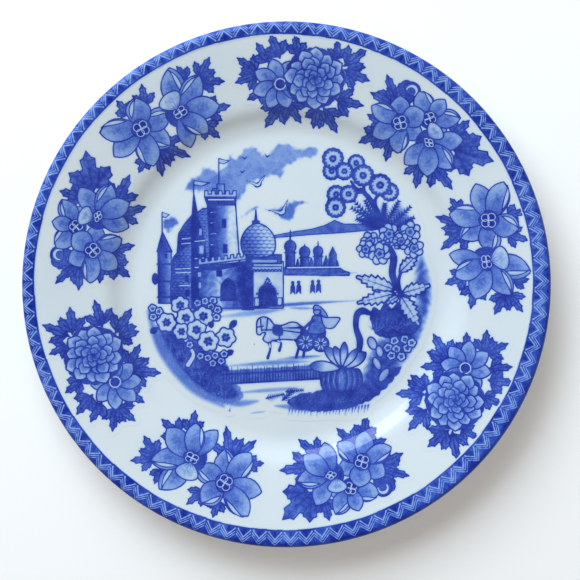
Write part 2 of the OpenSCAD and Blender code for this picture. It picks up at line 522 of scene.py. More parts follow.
# drawing: a print is worked out on a flat sheet of points, then laid on the glaze
class InkSheet:
    # tone is the wash from 0 to 1; dark and pale are how deep a point lies inside a line of that kind;
    # reach is the distance from the nearest ink; all lengths are in millimetres
    def __init__(self, width, height, step):
        self.x = np.arange(-width / 2, width / 2 + step / 2, step)
        self.y = np.arange(-height / 2, height / 2 + step / 2, step)
        shape = (len(self.y), len(self.x))
        self.tone = np.zeros(shape)
        self.dark = np.full(shape, -1.0)
        self.pale = np.full(shape, -1.0)
        self.reach = np.full(shape, 9.0)

    def window(self, outline, margin=2.5):
        # the part of the sheet round an outline
        low, high = outline.min(0) - margin, outline.max(0) + margin
        i0, i1 = np.searchsorted(self.x, [low[0], high[0]])
        j0, j1 = np.searchsorted(self.y, [low[1], high[1]])
        part = np.s_[j0:j1, i0:i1]
        return part, *np.meshgrid(self.x[i0:i1], self.y[j0:j1])

    def fill(self, outline, tone, line=0.16, wobble=0.0, ink=True):
        # covers what lies under an outline; tone is a number or a function of x, y and depth inside
        part, x, y = self.window(outline)
        if not x.size:
            return
        d = edgeDistance(x, y, outline) + wobble * ripple(x, y, 0.9)
        inside = d < 0
        value = tone(x, y, -d) if callable(tone) else tone
        self.tone[part] = np.where(inside, value, self.tone[part])
        self.pale[part] = np.where(inside, -1.0, self.pale[part])
        self.dark[part] = np.where(inside, -1.0, self.dark[part])
        if line:
            rim = line * (0.85 + 0.3 * ripple(x, y, 1.7)) - np.abs(d)
            self.dark[part] = np.maximum(self.dark[part], rim)
            self.pale[part] = np.minimum(self.pale[part], -rim)
        if ink:
            self.reach[part] = np.minimum(self.reach[part], d)

    def stroke(self, path, half, kind="dark", tone=0.85):
        # a line along a path; half is half its width, as one number or as one for each point
        path = np.asarray(path, float)
        half = np.interp(np.linspace(0, 1, len(path)), np.linspace(0, 1, np.size(half)),
                         np.atleast_1d(half))
        part, x, y = self.window(path)
        if not x.size:
            return
        depth = lineDepth(x, y, path, half)
        if kind == "wash":
            share = np.clip(depth / half.max() * 1.5, 0, 1)
            self.tone[part] = self.tone[part] * (1 - share) + tone * share
        elif kind == "pale":
            self.pale[part] = np.maximum(self.pale[part], depth)
            self.dark[part] = np.minimum(self.dark[part], -depth)
        else:
            self.dark[part] = np.maximum(self.dark[part], depth)
            self.pale[part] = np.minimum(self.pale[part], -depth)
        if kind != "pale":
            self.reach[part] = np.minimum(self.reach[part], -depth)

    def flow(self, near=0.30, wide=0.14):
        # cobalt that crept into the glaze: the ink blurred over 0.5 mm and over 2 mm, added to it
        step = self.x[1] - self.x[0]
        ink = np.maximum(self.tone, 0.9 * (self.dark > 0))
        spectrum = np.fft.rfft2(ink)
        pitch = np.fft.fftfreq(ink.shape[0], step)[:, None] ** 2 + np.fft.rfftfreq(ink.shape[1], step) ** 2
        bleed = sum(share * np.fft.irfft2(spectrum * np.exp(-2 * (math.pi * size) ** 2 * pitch), ink.shape)
                    for size, share in ((0.5, near), (2.0, wide)))
        fade = np.clip(1 - np.maximum(self.reach, 0) / filmMargin, 0, 1)
        self.tone = self.tone + np.maximum(bleed, 0) * fade * (1 - self.tone)


filmMargin = 1.8                # how far a print's skin reaches past its ink, mm


def edgeDistance(x, y, outline):
    # distance to a closed outline, negative inside it: nearest point of each side, and a crossing count
    a = outline[:, None, None]
    b = np.roll(outline, -1, 0)[:, None, None]
    side = b - a
    px, py = x - a[..., 0], y - a[..., 1]
    t = np.clip((px * side[..., 0] + py * side[..., 1]) / ((side ** 2).sum(-1) + 1e-12), 0, 1)
    near = np.sqrt(((px - side[..., 0] * t) ** 2 + (py - side[..., 1] * t) ** 2).min(0))
    spans = (a[..., 1] > y) != (b[..., 1] > y)
    cross = a[..., 0] + (y - a[..., 1]) * side[..., 0] / np.where(side[..., 1] == 0, 1e-12, side[..., 1])
    return np.where((spans & (x < cross)).sum(0) % 2 == 1, -near, near)


def lineDepth(x, y, path, half):
    # half width minus distance, at the nearest point of a path whose width changes along it
    a, b = path[:-1, None, None], path[1:, None, None]
    side = b - a
    px, py = x - a[..., 0], y - a[..., 1]
    t = np.clip((px * side[..., 0] + py * side[..., 1]) / ((side ** 2).sum(-1) + 1e-12), 0, 1)
    width = half[:-1, None, None] * (1 - t) + half[1:, None, None] * t
    return (width - np.sqrt((px - side[..., 0] * t) ** 2 + (py - side[..., 1] * t) ** 2)).max(0)


def ripple(x, y, size):
    # a soft uneven pattern from 0 to 1: sines bent by other sines
    u, v = x / size, y / size
    return 0.5 + 0.5 * np.sin(u + 1.7 * np.sin(0.7 * v + 1.1)) * np.sin(v + 1.9 * np.sin(0.6 * u))


def placed(points, at, angle=0.0, size=1.0):
    # turns points by an angle in degrees and moves them to a place
    a = math.radians(angle)
    turn = np.array([[math.cos(a), math.sin(a)], [-math.sin(a), math.cos(a)]])
    return np.asarray(points, float) * size @ turn + at


def smoothPath(points, count=8, closed=False):
    # a curve through the points: each stretch is the cubic of its four nearest points
    p = np.asarray(points, float)
    ring = np.vstack((p[-1:], p, p[:2])) if closed else np.vstack((2 * p[0] - p[1], p, 2 * p[-1] - p[-2]))
    t = np.linspace(0, 1, count, endpoint=False)[:, None, None]
    a, b, c, d = ring[:-3], ring[1:-2], ring[2:-1], ring[3:]
    square, cube = 2 * a - 5 * b + 4 * c - d, 3 * b - a - 3 * c + d
    curve = 0.5 * (2 * b + (c - a) * t + square * t ** 2 + cube * t ** 3)
    curve = curve.transpose(1, 0, 2).reshape(-1, 2)
    return curve if closed else np.vstack((curve, p[-1:]))


def oval(at, wide, high=None, count=24, angle=0.0):
    # half the width times a cosine, half the height times a sine; a circle where no height is given
    t = np.linspace(0, 2 * math.pi, count, endpoint=False)
    high = wide if high is None else high
    return placed(np.column_stack((wide / 2 * np.cos(t), high / 2 * np.sin(t))), at, angle)


def scallop(at, radius, lobes, depth=0.14, turn=0.0):
    # a round outline whose radius dips lobes times by depth, as the size of a sine
    t = np.linspace(0, 2 * math.pi, 6 * lobes, endpoint=False)
    r = radius * (1 - depth + depth * np.abs(np.sin(0.5 * lobes * (t - math.radians(turn)))))
    return np.column_stack((at[0] + r * np.cos(t), at[1] + r * np.sin(t)))


def looped(line):
    # the line with its first point again at its end
    return np.vstack((line, line[:1]))


def angleTo(base, tip):
    # the direction from one point to another, in degrees
    return math.degrees(math.atan2(tip[1] - base[1], tip[0] - base[0]))


def petalHalf(t, sharp=0.9):
    # a petal's half width, t^0.7 (1 - t^2.6)^sharp, where t runs from 0 at its base to 1 at its tip
    return t ** 0.7 * (1 - t ** 2.6) ** sharp


def petalShape(at, angle, long, wide, bend=0.0, sharp=0.9, count=13):
    # scaled so that its widest place is as wide as asked; bend moves the tip sideways by its square
    t = 0.5 - 0.5 * np.cos(np.linspace(0, math.pi, count))
    half = petalHalf(t, sharp)
    half *= wide / 2 / half.max()
    mid = bend * t ** 2
    left = np.column_stack((long * t, mid + half))
    right = np.column_stack((long * t, mid - half))
    return placed(np.vstack((left, right[-2:0:-1])), at, angle)


lobeEdge = [(0, 0.16), (0.20, 0.60), (0.40, 0.96), (0.55, 1.08), (0.58, 0.74), (0.80, 0.84),
            (0.84, 0.44), (1.0, 0)]


def lobeShape(at, angle, long, wide):
    # a leaf's lobe with notches; lobeEdge is one side of it, as shares of its length and half width
    side = np.array(lobeEdge) * [long, wide / 2]
    return placed(np.vstack((side, side[-2:0:-1] * [1, -1])), at, angle)


def alongAcross(x, y, at, angle, long, wide):
    # a point's place in a petal: 0 to 1 from base to tip, and -1 to 1 across
    a = math.radians(angle)
    u, v = x - at[0], y - at[1]
    return ((u * math.cos(a) + v * math.sin(a)) / long,
            (v * math.cos(a) - u * math.sin(a)) / (wide / 2))


def drawPetal(sheet, at, angle, long, wide, bend=0.0, tone=0.17, base=0.68, sharp=0.9, line=0.25):
    # dark at its base, pale towards its edges and tip, with a cloudy blue middle and a few engraved strokes
    def shade(x, y, depth):
        u, v = alongAcross(x, y, at, angle, long, wide)
        middle = np.exp(-((u - 0.58) / 0.20) ** 2 - (v / 0.42) ** 2)
        spot = ripple(x, y, 0.6)
        return np.clip(tone + base * np.exp(-np.maximum(u, 0) / 0.28) + 0.22 * middle
                       + 0.16 * (spot - 0.5) * (0.4 + middle) + 0.12 * np.clip(-v, 0, 1), 0.03, 1)
    sheet.fill(petalShape(at, angle, long, wide, bend, sharp), shade, line)
    for aside in (-0.24, -0.08, 0.10, 0.26):
        reach = 0.60 - 0.8 * abs(aside)
        path = placed([[0.08 * long, aside * wide * 0.3], [reach * long, aside * wide + bend * reach ** 2]],
                      at, angle)
        sheet.stroke(path, [0.20, 0.03], "wash", 0.80)


def drawLeaf(sheet, at, angle, long, wide, tone=0.52):
    # three lobes, each darker towards its root and its dark vein, with a pale line beside the vein
    for turn, start, share in ((46, 0.10, 0.66), (-46, 0.10, 0.66), (0, 0.0, 1.0)):
        root = placed([[start * long, 0]], at, angle)[0]
        size = (share * long, (0.40 + 0.06 * share) * wide)

        def shade(x, y, depth, root=root, lie=angle + turn, size=size):
            u, v = alongAcross(x, y, root, lie, *size)
            return np.clip(tone + 0.20 * np.exp(-np.abs(v) / 0.25) + 0.30 * np.exp(-np.maximum(u, 0) / 0.35)
                           + 0.26 * (ripple(x, y, 0.8) - 0.5), 0.3, 1)
        sheet.fill(lobeShape(root, angle + turn, *size), shade, 0.25)
        vein = placed([[0.05 * size[0], 0], [0.86 * size[0], 0.03 * size[1]]], root, angle + turn)
        sheet.stroke(vein, [0.16, 0.08])
        for side in (-0.22, 0.22):
            path = placed([[0.25 * size[0], 0.4 * side * size[1]], [0.7 * size[0], side * size[1]]],
                          root, angle + turn)
            sheet.stroke(path, [0.05, 0.20, 0.05], "wash", 0.32)


def drawFold(sheet, at, angle, long, wide, side, thick=0.19):
    # a petal's turned-over edge: a white sliver along one side, from a third of its length to near its tip
    t = np.linspace(0.34, 0.96, 9)
    half = petalHalf(t) * wide / 1.32
    width = thick * wide * np.sin(math.pi * (t - 0.34) / 0.62)
    outer = np.column_stack((long * t, side * half))
    inner = np.column_stack((long * t, side * (half - width)))
    sheet.fill(placed(np.vstack((outer, inner[-2:0:-1])), at, angle), 0.05, 0.20)


def drawEye(sheet, at, radius, lobes=4, angle=30, squash=1.0):
    # the middle of a flower: a scalloped disc with dark seeds, each in a pale loop
    def around(share, turn):
        # a place on a circle in the eye
        a = math.radians(angle + turn)
        return np.array(at) + share * radius * np.array([math.cos(a), squash * math.sin(a)])
    sheet.fill(scallop((0, 0), 1.06 * radius, lobes, 0.14, angle) * [1, squash] + at, 0.72, 0.24)
    seeds = [around(0.46, k * 360 / lobes + 9 * math.sin(5 * k + angle)) for k in range(lobes)]
    for spot in seeds:
        sheet.fill(oval(spot, 0.62 * radius, 0.62 * radius * squash, 12), 1.0, 0)
    for spot in seeds:
        sheet.stroke(looped(oval(spot, 0.80 * radius, 0.80 * radius * squash, 16)), 0.15, "pale")


# flower sprays; a spray's x runs clockwise round the rim and its y runs out to the lip, in millimetres.
# A leaf is its root, angle, length and width; a petal is its angle, length, width and bend;
# a fold is the number of its petal and the side that is turned over
anemoneSpray = {
    "leaves": [(-10.5, 9.5, 94, 7.5, 6.5), (-3.5, 8.5, 62, 9, 6), (16.5, 7.5, 96, 6.5, 5),
               (20, 4.8, 28, 9.5, 6.5), (20, 4.2, -38, 9.5, 7), (14, -6.5, -22, 10.5, 7),
               (10.5, -9.5, -76, 9, 6.5), (-9, -6, -118, 12.5, 7.5), (-8.5, -6, -58, 13.5, 7.5),
               (-15.5, -7.5, -152, 6.5, 5)],
    "flowers": [
        {"at": (-9.9, 2.7), "eye": 3.7, "turn": 35,
         "petals": [(297, 13.2, 8.4, -1.0), (350, 13.0, 8.6, 1.2), (246, 15.4, 9.2, 1.2),
                    (187, 15.4, 8.4, 0.6), (146, 16.2, 9.0, 1.0), (60, 12.2, 9.6, 0.8)],
         "folds": [(0, -1), (1, 1), (2, -1), (4, -1), (5, 1)]},
        {"at": (6.3, -1.1), "eye": 3.4, "turn": 45, "squash": 0.72,
         "petals": [(72, 17.6, 9.6, -1.6), (24, 16.4, 8.6, 0.6), (337, 15.6, 9.0, -0.8),
                    (252, 14.4, 7.2, -0.8), (284, 13.4, 8.0, 0.8)],
         "folds": [(0, -1), (1, 1), (4, -1)],
         "hood": (6.0, 0.6, 93, 7.2, 9.6)}],
}
budSpray = {
    "leaves": [(-16.5, 1.8, 152, 11, 7), (-15.5, 0, 192, 11, 7), (-13.5, -8.0, 190, 8, 6),
               (-12.6, -11.0, -112, 9.5, 7.2), (-8.5, -9.0, -60, 10.5, 7.2), (6.5, -8.5, -56, 11.5, 7.4),
               (10.5, -6.5, -10, 13.2, 8.6), (12.5, 2.6, 26, 17, 15), (9.4, 6.4, 88, 9, 8)],
    "bud": (-15.0, 9.6),
    "flowers": [
        {"at": (-2.2, 5.6), "eye": 2.9, "turn": 20,
         "petals": [(-4, 9.0, 6.2, 0), (205, 9.5, 6.5, 0), (150, 11.4, 7.8, 0.8), (40, 12.0, 7.4, 0.6),
                    (94, 9.4, 6.2, 0)], "folds": [(2, -1), (3, 1)]},
        {"at": (-9.5, -3.2), "eye": 3.3, "turn": 10,
         "petals": [(4, 10.4, 7.0, 0.4), (310, 12.0, 7.6, -0.4), (244, 12.0, 7.8, 0.6),
                    (136, 10.6, 7.8, -0.4), (190, 13.2, 7.4, 0.4), (66, 10.2, 8.6, 0)],
         "folds": [(1, 1), (4, -1)]},
        {"at": (4.1, -1.4), "eye": 2.5, "turn": 0, "squash": 0.7,
         "petals": [(45, 13.4, 7.6, 0.4), (352, 14.0, 8.0, 0.6), (264, 12.6, 7.4, 0.3),
                    (312, 13.4, 8.0, -0.3)],
         "folds": [(1, 1)], "hood": (2.4, 0.2, 82, 5.8, 8.0)}],
}
dahliaSpray = {
    "leaves": [(-17.0, 1.6, 148, 10, 7.2), (-17.0, 1.2, 205, 9.5, 6.5), (-12.8, 6.0, 128, 9.0, 7.0),
               (-8.5, 8.0, 118, 10.0, 7.6), (-1.8, 9.4, 102, 8.0, 6.8), (13.5, 8.5, 92, 8.0, 5.8),
               (16.5, 6.4, 42, 11.5, 7.4), (16.5, 5.0, -18, 11.0, 8.0), (14.0, -6.6, -8, 11.5, 7.4),
               (9.5, -10.0, -56, 11.5, 7.6), (7.5, -10.0, -98, 8.5, 6.6), (-6.8, -9.0, -120, 12.0, 8.2),
               (-4.8, -8.8, -52, 10.0, 6.8), (-13.0, -4.0, 214, 9.0, 6.8)],
    "star": {"at": (-8.0, -2.0), "eye": 2.1, "petals": 8, "long": 10.6, "wide": 6.0},
    "dahlia": {"at": (5.4, 1.2), "rings": [(11.6, 12, 6.2, 5.6), (8.4, 10, 5.2, 4.8), (5.4, 7, 4.4, 4.2),
                                           (2.8, 5, 2.8, 3.0)]},
}


def drawFlower(sheet, flower):
    # petals in the order that they overlap, over dark gaps; a hood is a blank petal in front of the eye
    size = np.mean([petal[1] for petal in flower["petals"]])
    sheet.fill(oval(flower["at"], 0.8 * size), 0.80, 0)
    for k, (angle, long, wide, bend) in enumerate(flower["petals"]):
        drawPetal(sheet, flower["at"], angle, long, wide, bend)
        for petal, side in flower["folds"]:
            if petal == k:
                drawFold(sheet, flower["at"], angle, long, wide, side)
    drawEye(sheet, flower["at"], flower["eye"], 4, flower["turn"], flower.get("squash", 1))
    if "hood" in flower:
        drawPetal(sheet, flower["hood"][:2], *flower["hood"][2:], tone=0.06, base=0.16, sharp=0.6)


def drawBud(sheet, at):
    # a curled bud: a dark hook round a pale crescent
    sheet.fill(oval((at[0] - 2.4, at[1] - 1.6), 4.6, 6.2, angle=20), 0.66, 0.17)
    sheet.fill(oval((at[0] + 1.4, at[1] - 3.2), 3.6, 6.4, angle=8), 0.72, 0.17)
    sheet.fill(oval(at, 6.6, 5.2, angle=12), 0.60, 0.18)
    hook = arc(at[0] + 0.3, at[1] - 0.9, 2.0, 200, -10, 12)
    sheet.stroke(hook, [0.2, 0.55, 0.2], "pale")
    sheet.stroke(arc(at[0] + 0.3, at[1] - 0.9, 3.1, 170, 30, 12), [0.1, 0.35, 0.1])


def drawStar(sheet, star):
    # even petals, a little longer and shorter by turns, round a dark eye with two rings
    sheet.fill(oval(star["at"], 1.5 * star["long"]), 0.80, 0, wobble=0.6)
    for k in range(star["petals"]):
        angle = 20 + k * 360 / star["petals"]
        drawPetal(sheet, star["at"], angle, star["long"] * (1 + 0.07 * math.sin(5 * k)), star["wide"],
                  0.4, 0.16, 0.55)
    ring = oval(star["at"], 2 * star["eye"], count=20)
    sheet.fill(ring, 0.88, 0.16)
    sheet.stroke(looped(ring), 0.20, "pale")
    sheet.stroke(oval(star["at"], 2.9 * star["eye"], count=20), 0.13)


def drawDahlia(sheet, dahlia):
    # rings of petals from the outside in; a ring is its outer radius, its number of petals and their size
    at = np.array(dahlia["at"])
    sheet.fill(oval(at, 2.1 * dahlia["rings"][0][0]), 0.82, 0, wobble=0.6)
    for row, (edge, count, long, wide) in enumerate(dahlia["rings"]):
        for k in range(count):
            angle = (k + 0.5 * (row % 2)) * 360 / count + 9 * math.sin(3.1 * k + row)
            size = 1 + 0.12 * math.sin(2.3 * k + 1.9 * row)
            aim = math.radians(angle)
            base = at + (edge - long) * np.array([math.cos(aim), math.sin(aim)])
            drawPetal(sheet, base, angle, long * size, wide * size, 0.3, 0.03 + 0.05 * row, 0.98, 1.15)
    sheet.fill(oval(at, 1.6), 0.9, 0.1)


spraySheet = {"width": 62, "height": 46, "step": 0.2}


def sprayTemplate(spray):
    # leaves lie under the flowers
    sheet = InkSheet(**spraySheet)
    for x, y, angle, long, wide in spray["leaves"]:
        drawLeaf(sheet, (x, y), angle, long, wide)
    if "bud" in spray:
        drawBud(sheet, spray["bud"])
    for flower in spray.get("flowers", []):
        drawFlower(sheet, flower)
    if "star" in spray:
        drawStar(sheet, spray["star"])
        drawDahlia(sheet, spray["dahlia"])
    sheet.flow()
    return sheet


def onFace(x, y, lift):
    # lays plan points on the glazed face, a small lift above it, along the face's own normal
    r = np.hypot(x, y)
    z = np.interp(r, faceLine[:facePeak, 0], faceLine[:facePeak, 1]) + warpAt(x, y)
    slope = np.interp(r, faceLine[:facePeak, 0],
                      np.gradient(faceLine[:facePeak, 1], faceLine[:facePeak, 0]))
    lean = lift / np.sqrt(1 + slope ** 2)
    out = np.where(r > 0, 1 - lean * slope / np.maximum(r, 1e-9), 1)
    return np.stack((x * out, y * out, z + lean), -1)


def underFoot(x, y, lift):
    # lays plan points on the glaze inside the foot ring, a small lift below it
    return np.stack((x, y, form["footHeight"] - glaze - lift + warpAt(x, y)), -1)


def layPrint(name, sheet, turn, centre, material, node, lift, lay=onFace):
    # keeps the cells near ink, turns the sheet, moves it to its centre on the plate and drapes it
    x, y = np.meshgrid(sheet.x, sheet.y)
    near = sheet.reach < filmMargin
    cell = near[:-1, :-1] | near[1:, :-1] | near[:-1, 1:] | near[1:, 1:]
    flat = placed(np.column_stack((x.ravel(), y.ravel())), centre, turn)
    points = lay(flat[:, 0], flat[:, 1], lift)
    faces = gridFaces(*x.shape)[cell.ravel()][:, ::1 if lay is onFace else -1]
    used, faces = np.unique(faces, return_inverse=True)
    piece = makeMesh(name, points[used], faces.reshape(-1, 4))
    addInk(piece, used, tone=sheet.tone, dark=sheet.dark, pale=sheet.pale)
    finishPiece(piece, material, node)
    print(name, "laid,", 2 * len(piece.data.polygons), "triangles")


facePeak = int(np.argmax(faceLine[:, 1]))
lifts = {"anemone": 0.04, "bud": 0.05, "dahlia": 0.06, "view": 0.07, "band": 0.08, "mark": 0.05}
border = {"radius": 81, "aside": 0, "up": 1.5,
          "anemone": (126, 246, 11), "bud": (163, 286, 48), "dahlia": (204, 329, 86)}
for kind, spray in (("anemone", anemoneSpray), ("bud", budSpray), ("dahlia", dahliaSpray)):
    template = sprayTemplate(spray)
    for i, angle in enumerate(border[kind], 1):
        a = math.radians(angle)
        centre = (border["aside"] + border["radius"] * math.cos(a),
                  border["up"] + border["radius"] * math.sin(a))
        layPrint(f"{kind}Spray{i}", template, angle - 90, centre, sprayInk, f"{kind}_spray_{i}",
                 lifts[kind])
print("sprays laid")

# the view in the well; its x and y run right and up from the view's own middle, in millimetres
def box(x0, y0, x1, y1):
    # the corners of an upright rectangle
    return np.array([[x0, y0], [x1, y0], [x1, y1], [x0, y1]], float)


def mottled(low, high, size=1.6):
    # a wash that wanders between two tones
    return lambda x, y, depth: low + (high - low) * ripple(x, y, size)


def rounded(x0, x1, dark, light, size=0.7):
    # a wall or a tower that turns from its dark side at x0 to its light side at x1
    def shade(x, y, depth):
        share = np.clip((x - x0) / (x1 - x0), 0, 1) ** 1.3
        return np.clip(dark + (light - dark) * share + 0.14 * (ripple(x, y, size) - 0.5), 0, 1)
    return shade


def scales(x, y, size):
    # 1 on the edges of overlapping round tiles and 0 inside them; every second row is shifted by half
    v = y / (0.62 * size)
    row = np.floor(v)
    u = x / size + 0.5 * (row % 2)
    r = np.hypot(u - np.round(u), 0.9 * (v - row))
    return np.clip(1 - np.abs(r - 0.52) / 0.20, 0, 1)


def tiled(x0, x1, dark, light, size=1.9):
    # a rounded wall under rows of tiles
    wall = rounded(x0, x1, dark, light)
    return lambda x, y, depth: np.clip(wall(x, y, depth) + 0.5 * (scales(x, y, size) - 0.35), 0.05, 1)


def drawFlag(sheet, x, y0, y1, long):
    # a pole from y0 to y1 with a forked flag
    sheet.stroke([[x, y0], [x, y1]], [0.30, 0.22])
    cloth = [[0, 0], [0.45 * long, -0.5], [long, -0.9], [0.5 * long, -2.2], [0, -1.7]]
    sheet.fill(np.array(cloth) + [x, y1], 0.12, 0.2)


def drawBattlement(sheet, x0, x1, y, high, count, slope=0.0, tone=0.14):
    # a parapet with square teeth
    x = np.linspace(x0, x1, 4 * count - 1)
    up = np.arange(4 * count - 2) % 4 < 2
    top = np.where(up, high, 0.45 * high)
    edge = np.column_stack((np.repeat(x, 2)[1:-1], np.repeat(top, 2)))
    edge = np.vstack(([x0, 0], edge, [x1, 0]))
    edge[:, 1] += y + slope * (edge[:, 0] - x0)
    sheet.fill(edge, tone, 0.22)


def drawArch(sheet, x, y, wide, high, tone=0.92):
    # a pointed opening
    half = wide / 2
    q = np.linspace(0, 1, 7)
    right = np.column_stack((half * np.cos(0.5 * math.pi * q ** 1.4), high * (0.5 + 0.5 * q)))
    edge = np.vstack(([half, 0], right, right[-2::-1] * [-1, 1], [-half, 0]))
    sheet.fill(edge + [x, y], tone, 0.22)


def drawDaisy(sheet, at, radius, petals, turn=0.0):
    # white round petals about a dark starred eye
    sheet.fill(scallop(at, radius, petals, 0.20, turn), 0.05, 0.30)
    sheet.fill(scallop(at, 0.46 * radius, petals, 0.38, turn), 0.86, 0)
    sheet.fill(oval(at, 0.30 * radius), 0.55, 0)


def drawRoundBloom(sheet, at, radius, turn=0.0):
    # a dark scalloped disc with a white frilled ring and a dark eye
    sheet.fill(scallop(at, radius, 13, 0.09, turn), 0.74, 0.24)
    sheet.fill(scallop(at, 0.76 * radius, 13, 0.22, turn), 0.10, 0)
    sheet.fill(oval(at, 0.68 * radius), 0.88, 0)
    sheet.fill(oval(at, 0.24 * radius), 0.30, 0)


def drawPuff(sheet, at, radius, petals, turn=0.0):
    # a full bloom: broad white outer petals, and a small one in front
    for k in range(petals):
        a = math.radians(turn + k * 360 / petals)
        middle = (at[0] + 0.58 * radius * math.cos(a), at[1] + 0.58 * radius * math.sin(a))
        sheet.fill(oval(middle, 0.92 * radius, 0.80 * radius, angle=math.degrees(a)), 0.07, 0.27)
    sheet.fill(scallop(at, 0.50 * radius, 5, 0.25, turn), 0.24, 0.24)
    sheet.fill(oval(at, 0.36 * radius), 0.80, 0.1)


def drawToothedLeaf(sheet, base, tip, wide, teeth=5, tone=0.06):
    # half width is a sine of the length to the power 0.75, cut back at every second point
    base, tip = np.array(base, float), np.array(tip, float)
    long = math.hypot(*(tip - base))
    t = np.linspace(0, 1, 2 * teeth + 2)
    half = 0.5 * wide * np.sin(math.pi * t ** 0.75) * np.where(np.arange(len(t)) % 2 == 0, 1.0, 0.62)
    t = t + np.where(np.arange(len(t)) % 2 == 0, 0.35 / teeth, 0) * (t < 1)
    t[0] = 0
    edge = np.vstack((np.column_stack((long * t, half)), np.column_stack((long * t, -half))[-2:0:-1]))
    angle = angleTo(base, tip)
    sheet.fill(placed(edge, base, angle), tone, 0.32)
    sheet.stroke([base, base + 0.8 * (tip - base)], [0.26, 0.12])
    for k in range(1, teeth):
        for side in (-1, 1):
            rib = placed([[long * k / teeth, 0], [long * (k + 0.5) / teeth, side * 0.22 * wide]],
                         base, angle)
            sheet.stroke(rib, [0.25, 0.1], "wash", 0.4)


def drawSpikes(sheet, at, spikes, half=0.5, kind="dark", tone=0.8):
    # blades that spread from one point; each is an angle and a length
    for angle, long in spikes:
        tip = placed([[long, 0]], at, angle)[0]
        middle = placed([[0.55 * long, 0.06 * long]], at, angle)[0]
        sheet.stroke([at, middle, tip], [0.6 * half, half, 0.1], kind, tone)


def drawFrond(sheet, start, end, long, count, half=0.24):
    # a fern: side blades that get shorter towards the end of a stalk
    start, end = np.array(start, float), np.array(end, float)
    sheet.stroke([start, end], [0.3, 0.1])
    along = angleTo(start, end)
    for k in range(count):
        share = (k + 0.5) / count
        foot = start + share * (end - start)
        for side in (-1, 1):
            tip = placed([[long * (1 - 0.6 * share), 0]], foot, along + side * 52)[0]
            sheet.stroke([foot, tip], [half, 0.08])


# a gull is its middle, span and tilt
sky = {
    "bank": [(-43, 35), (-40, 40), (-37, 41), (-35.5, 44.5), (-31.5, 44.5), (-29, 43), (-26, 46),
             (-24.5, 50), (-21.5, 48.5), (-19, 51.5), (-14, 53.5), (-10.5, 50), (-7.5, 51), (-5, 54.5),
             (0, 54), (4.5, 52), (9, 53.5), (12.5, 50.5), (9, 47.5), (4.5, 47), (1, 45), (-1.5, 44),
             (-3, 39), (-7, 40.5), (-11, 39), (-15.5, 37.5), (-17.5, 34), (-20, 30.5), (-25, 29),
             (-33, 34), (-37, 34)],
    "wisp": [(-20, 23.5), (-17, 27.5), (-13.5, 29.5), (-9, 28), (-4, 28.5), (1, 31), (5.5, 31.5),
             (12, 28.5), (6, 29.5), (3, 26.5), (1.5, 22.5), (-3, 22.5), (-5.5, 25), (-12, 27.5)],
    "shade": [(-52, 22), (-50, 24), (-46, 25), (-44, 22), (-47, 19), (-49, 17)],
    "gulls": [(-13, 38, 7.6, 18), (-3.5, 27, 9.0, 30), (-18, 48, 2.6, 8), (-9, 48.8, 2.6, -10),
              (-19, 42.5, 2.2, 5)],
    "wing": [(-0.5, 0.30), (-0.22, 0.06), (0, -0.12), (0.2, 0.04), (0.5, 0.26)],   # shares of a gull's span
    "tone": (0.30, 0.50),
}


def drawSky(sheet, s):
    # clouds, then gulls; a small one is a single stroke
    def cloud(x, y, depth):
        # darker under each billow
        under = np.clip((36 - y) / 22 + 0.55 * ripple(x, y, 3.0), 0, 1)
        low, high = s["tone"]
        wash = low + (high - low) * under + 0.10 * (ripple(x, y, 1.1) - 0.5)
        return wash * np.clip(depth / 0.9, 0.25, 1)
    for part in ("bank", "wisp", "shade"):
        sheet.fill(smoothPath(s[part], 3, True), cloud, 0, wobble=1.0)
    for x, y, span, tilt in s["gulls"]:
        wing = placed(s["wing"], (x, y), tilt, span)
        if span > 4:
            body = placed(oval((0, -0.10), 0.34, 0.20), (x, y), tilt, span)
            sheet.stroke(smoothPath(wing, 4), [0.2, 0.62, 0.75, 0.62, 0.2])
            sheet.fill(body, 0.06, 0.26)
            sheet.stroke(smoothPath(wing, 4), [0.02, 0.28, 0.4, 0.28, 0.02], "pale")
        else:
            sheet.stroke(smoothPath(wing, 3), [0.1, 0.36, 0.1])


# a dome is its middle, radius and the top of its pole; a spire is its tip and half width;
# a bank is a path, half its width and its tone
far = {
    "hills": [(-6, 17), (2, 18.5), (9, 19.5), (14, 21), (18, 23), (22, 21.5), (29, 21.5), (37, 21.5),
              (37, 19.5), (20, 18), (8, 17.3), (-6, 16)],
    "wall": [(-2, 1), (-2, 4.2), (18.5, 4.8), (22, 2.6), (24, 2), (24, 0.8)],
    "domes": [(0.2, 12.5, 2.3, 19), (6, 10.3, 2.1, 13.5), (11.4, 10.6, 1.9, 14.5)],
    "spires": [(8.7, 8, 1.0), (14.6, 8.8, 1.0), (17.3, 12.4, 1.5), (19.2, 6.8, 0.8), (3.2, 7.5, 0.9)],
    "banks": [([(-29, -13.5), (-12, -12.0), (6, -10.6), (27, -9.4)], 0.95, 0.50),
              ([(-28, -16), (-15, -14.5), (-2, -13)], 1.5, 0.24), ([(0, -12.4), (10, -12.6)], 0.8, 0.28),
              ([(-5, -33.3), (12, -32.4)], 0.8, 0.30), ([(-24, -36), (-4, -34.6), (8, -34.2)], 1.3, 0.34),
              ([(-2, -32.6), (14, -31.8)], 0.4, 0.5), ([(12, 0.4), (27, 2.0)], 0.5, 0.4)],
    "walkers": [(1.2, -6.8), (3.6, -6.6), (9.2, -6.4), (11.6, -6.2)],
}


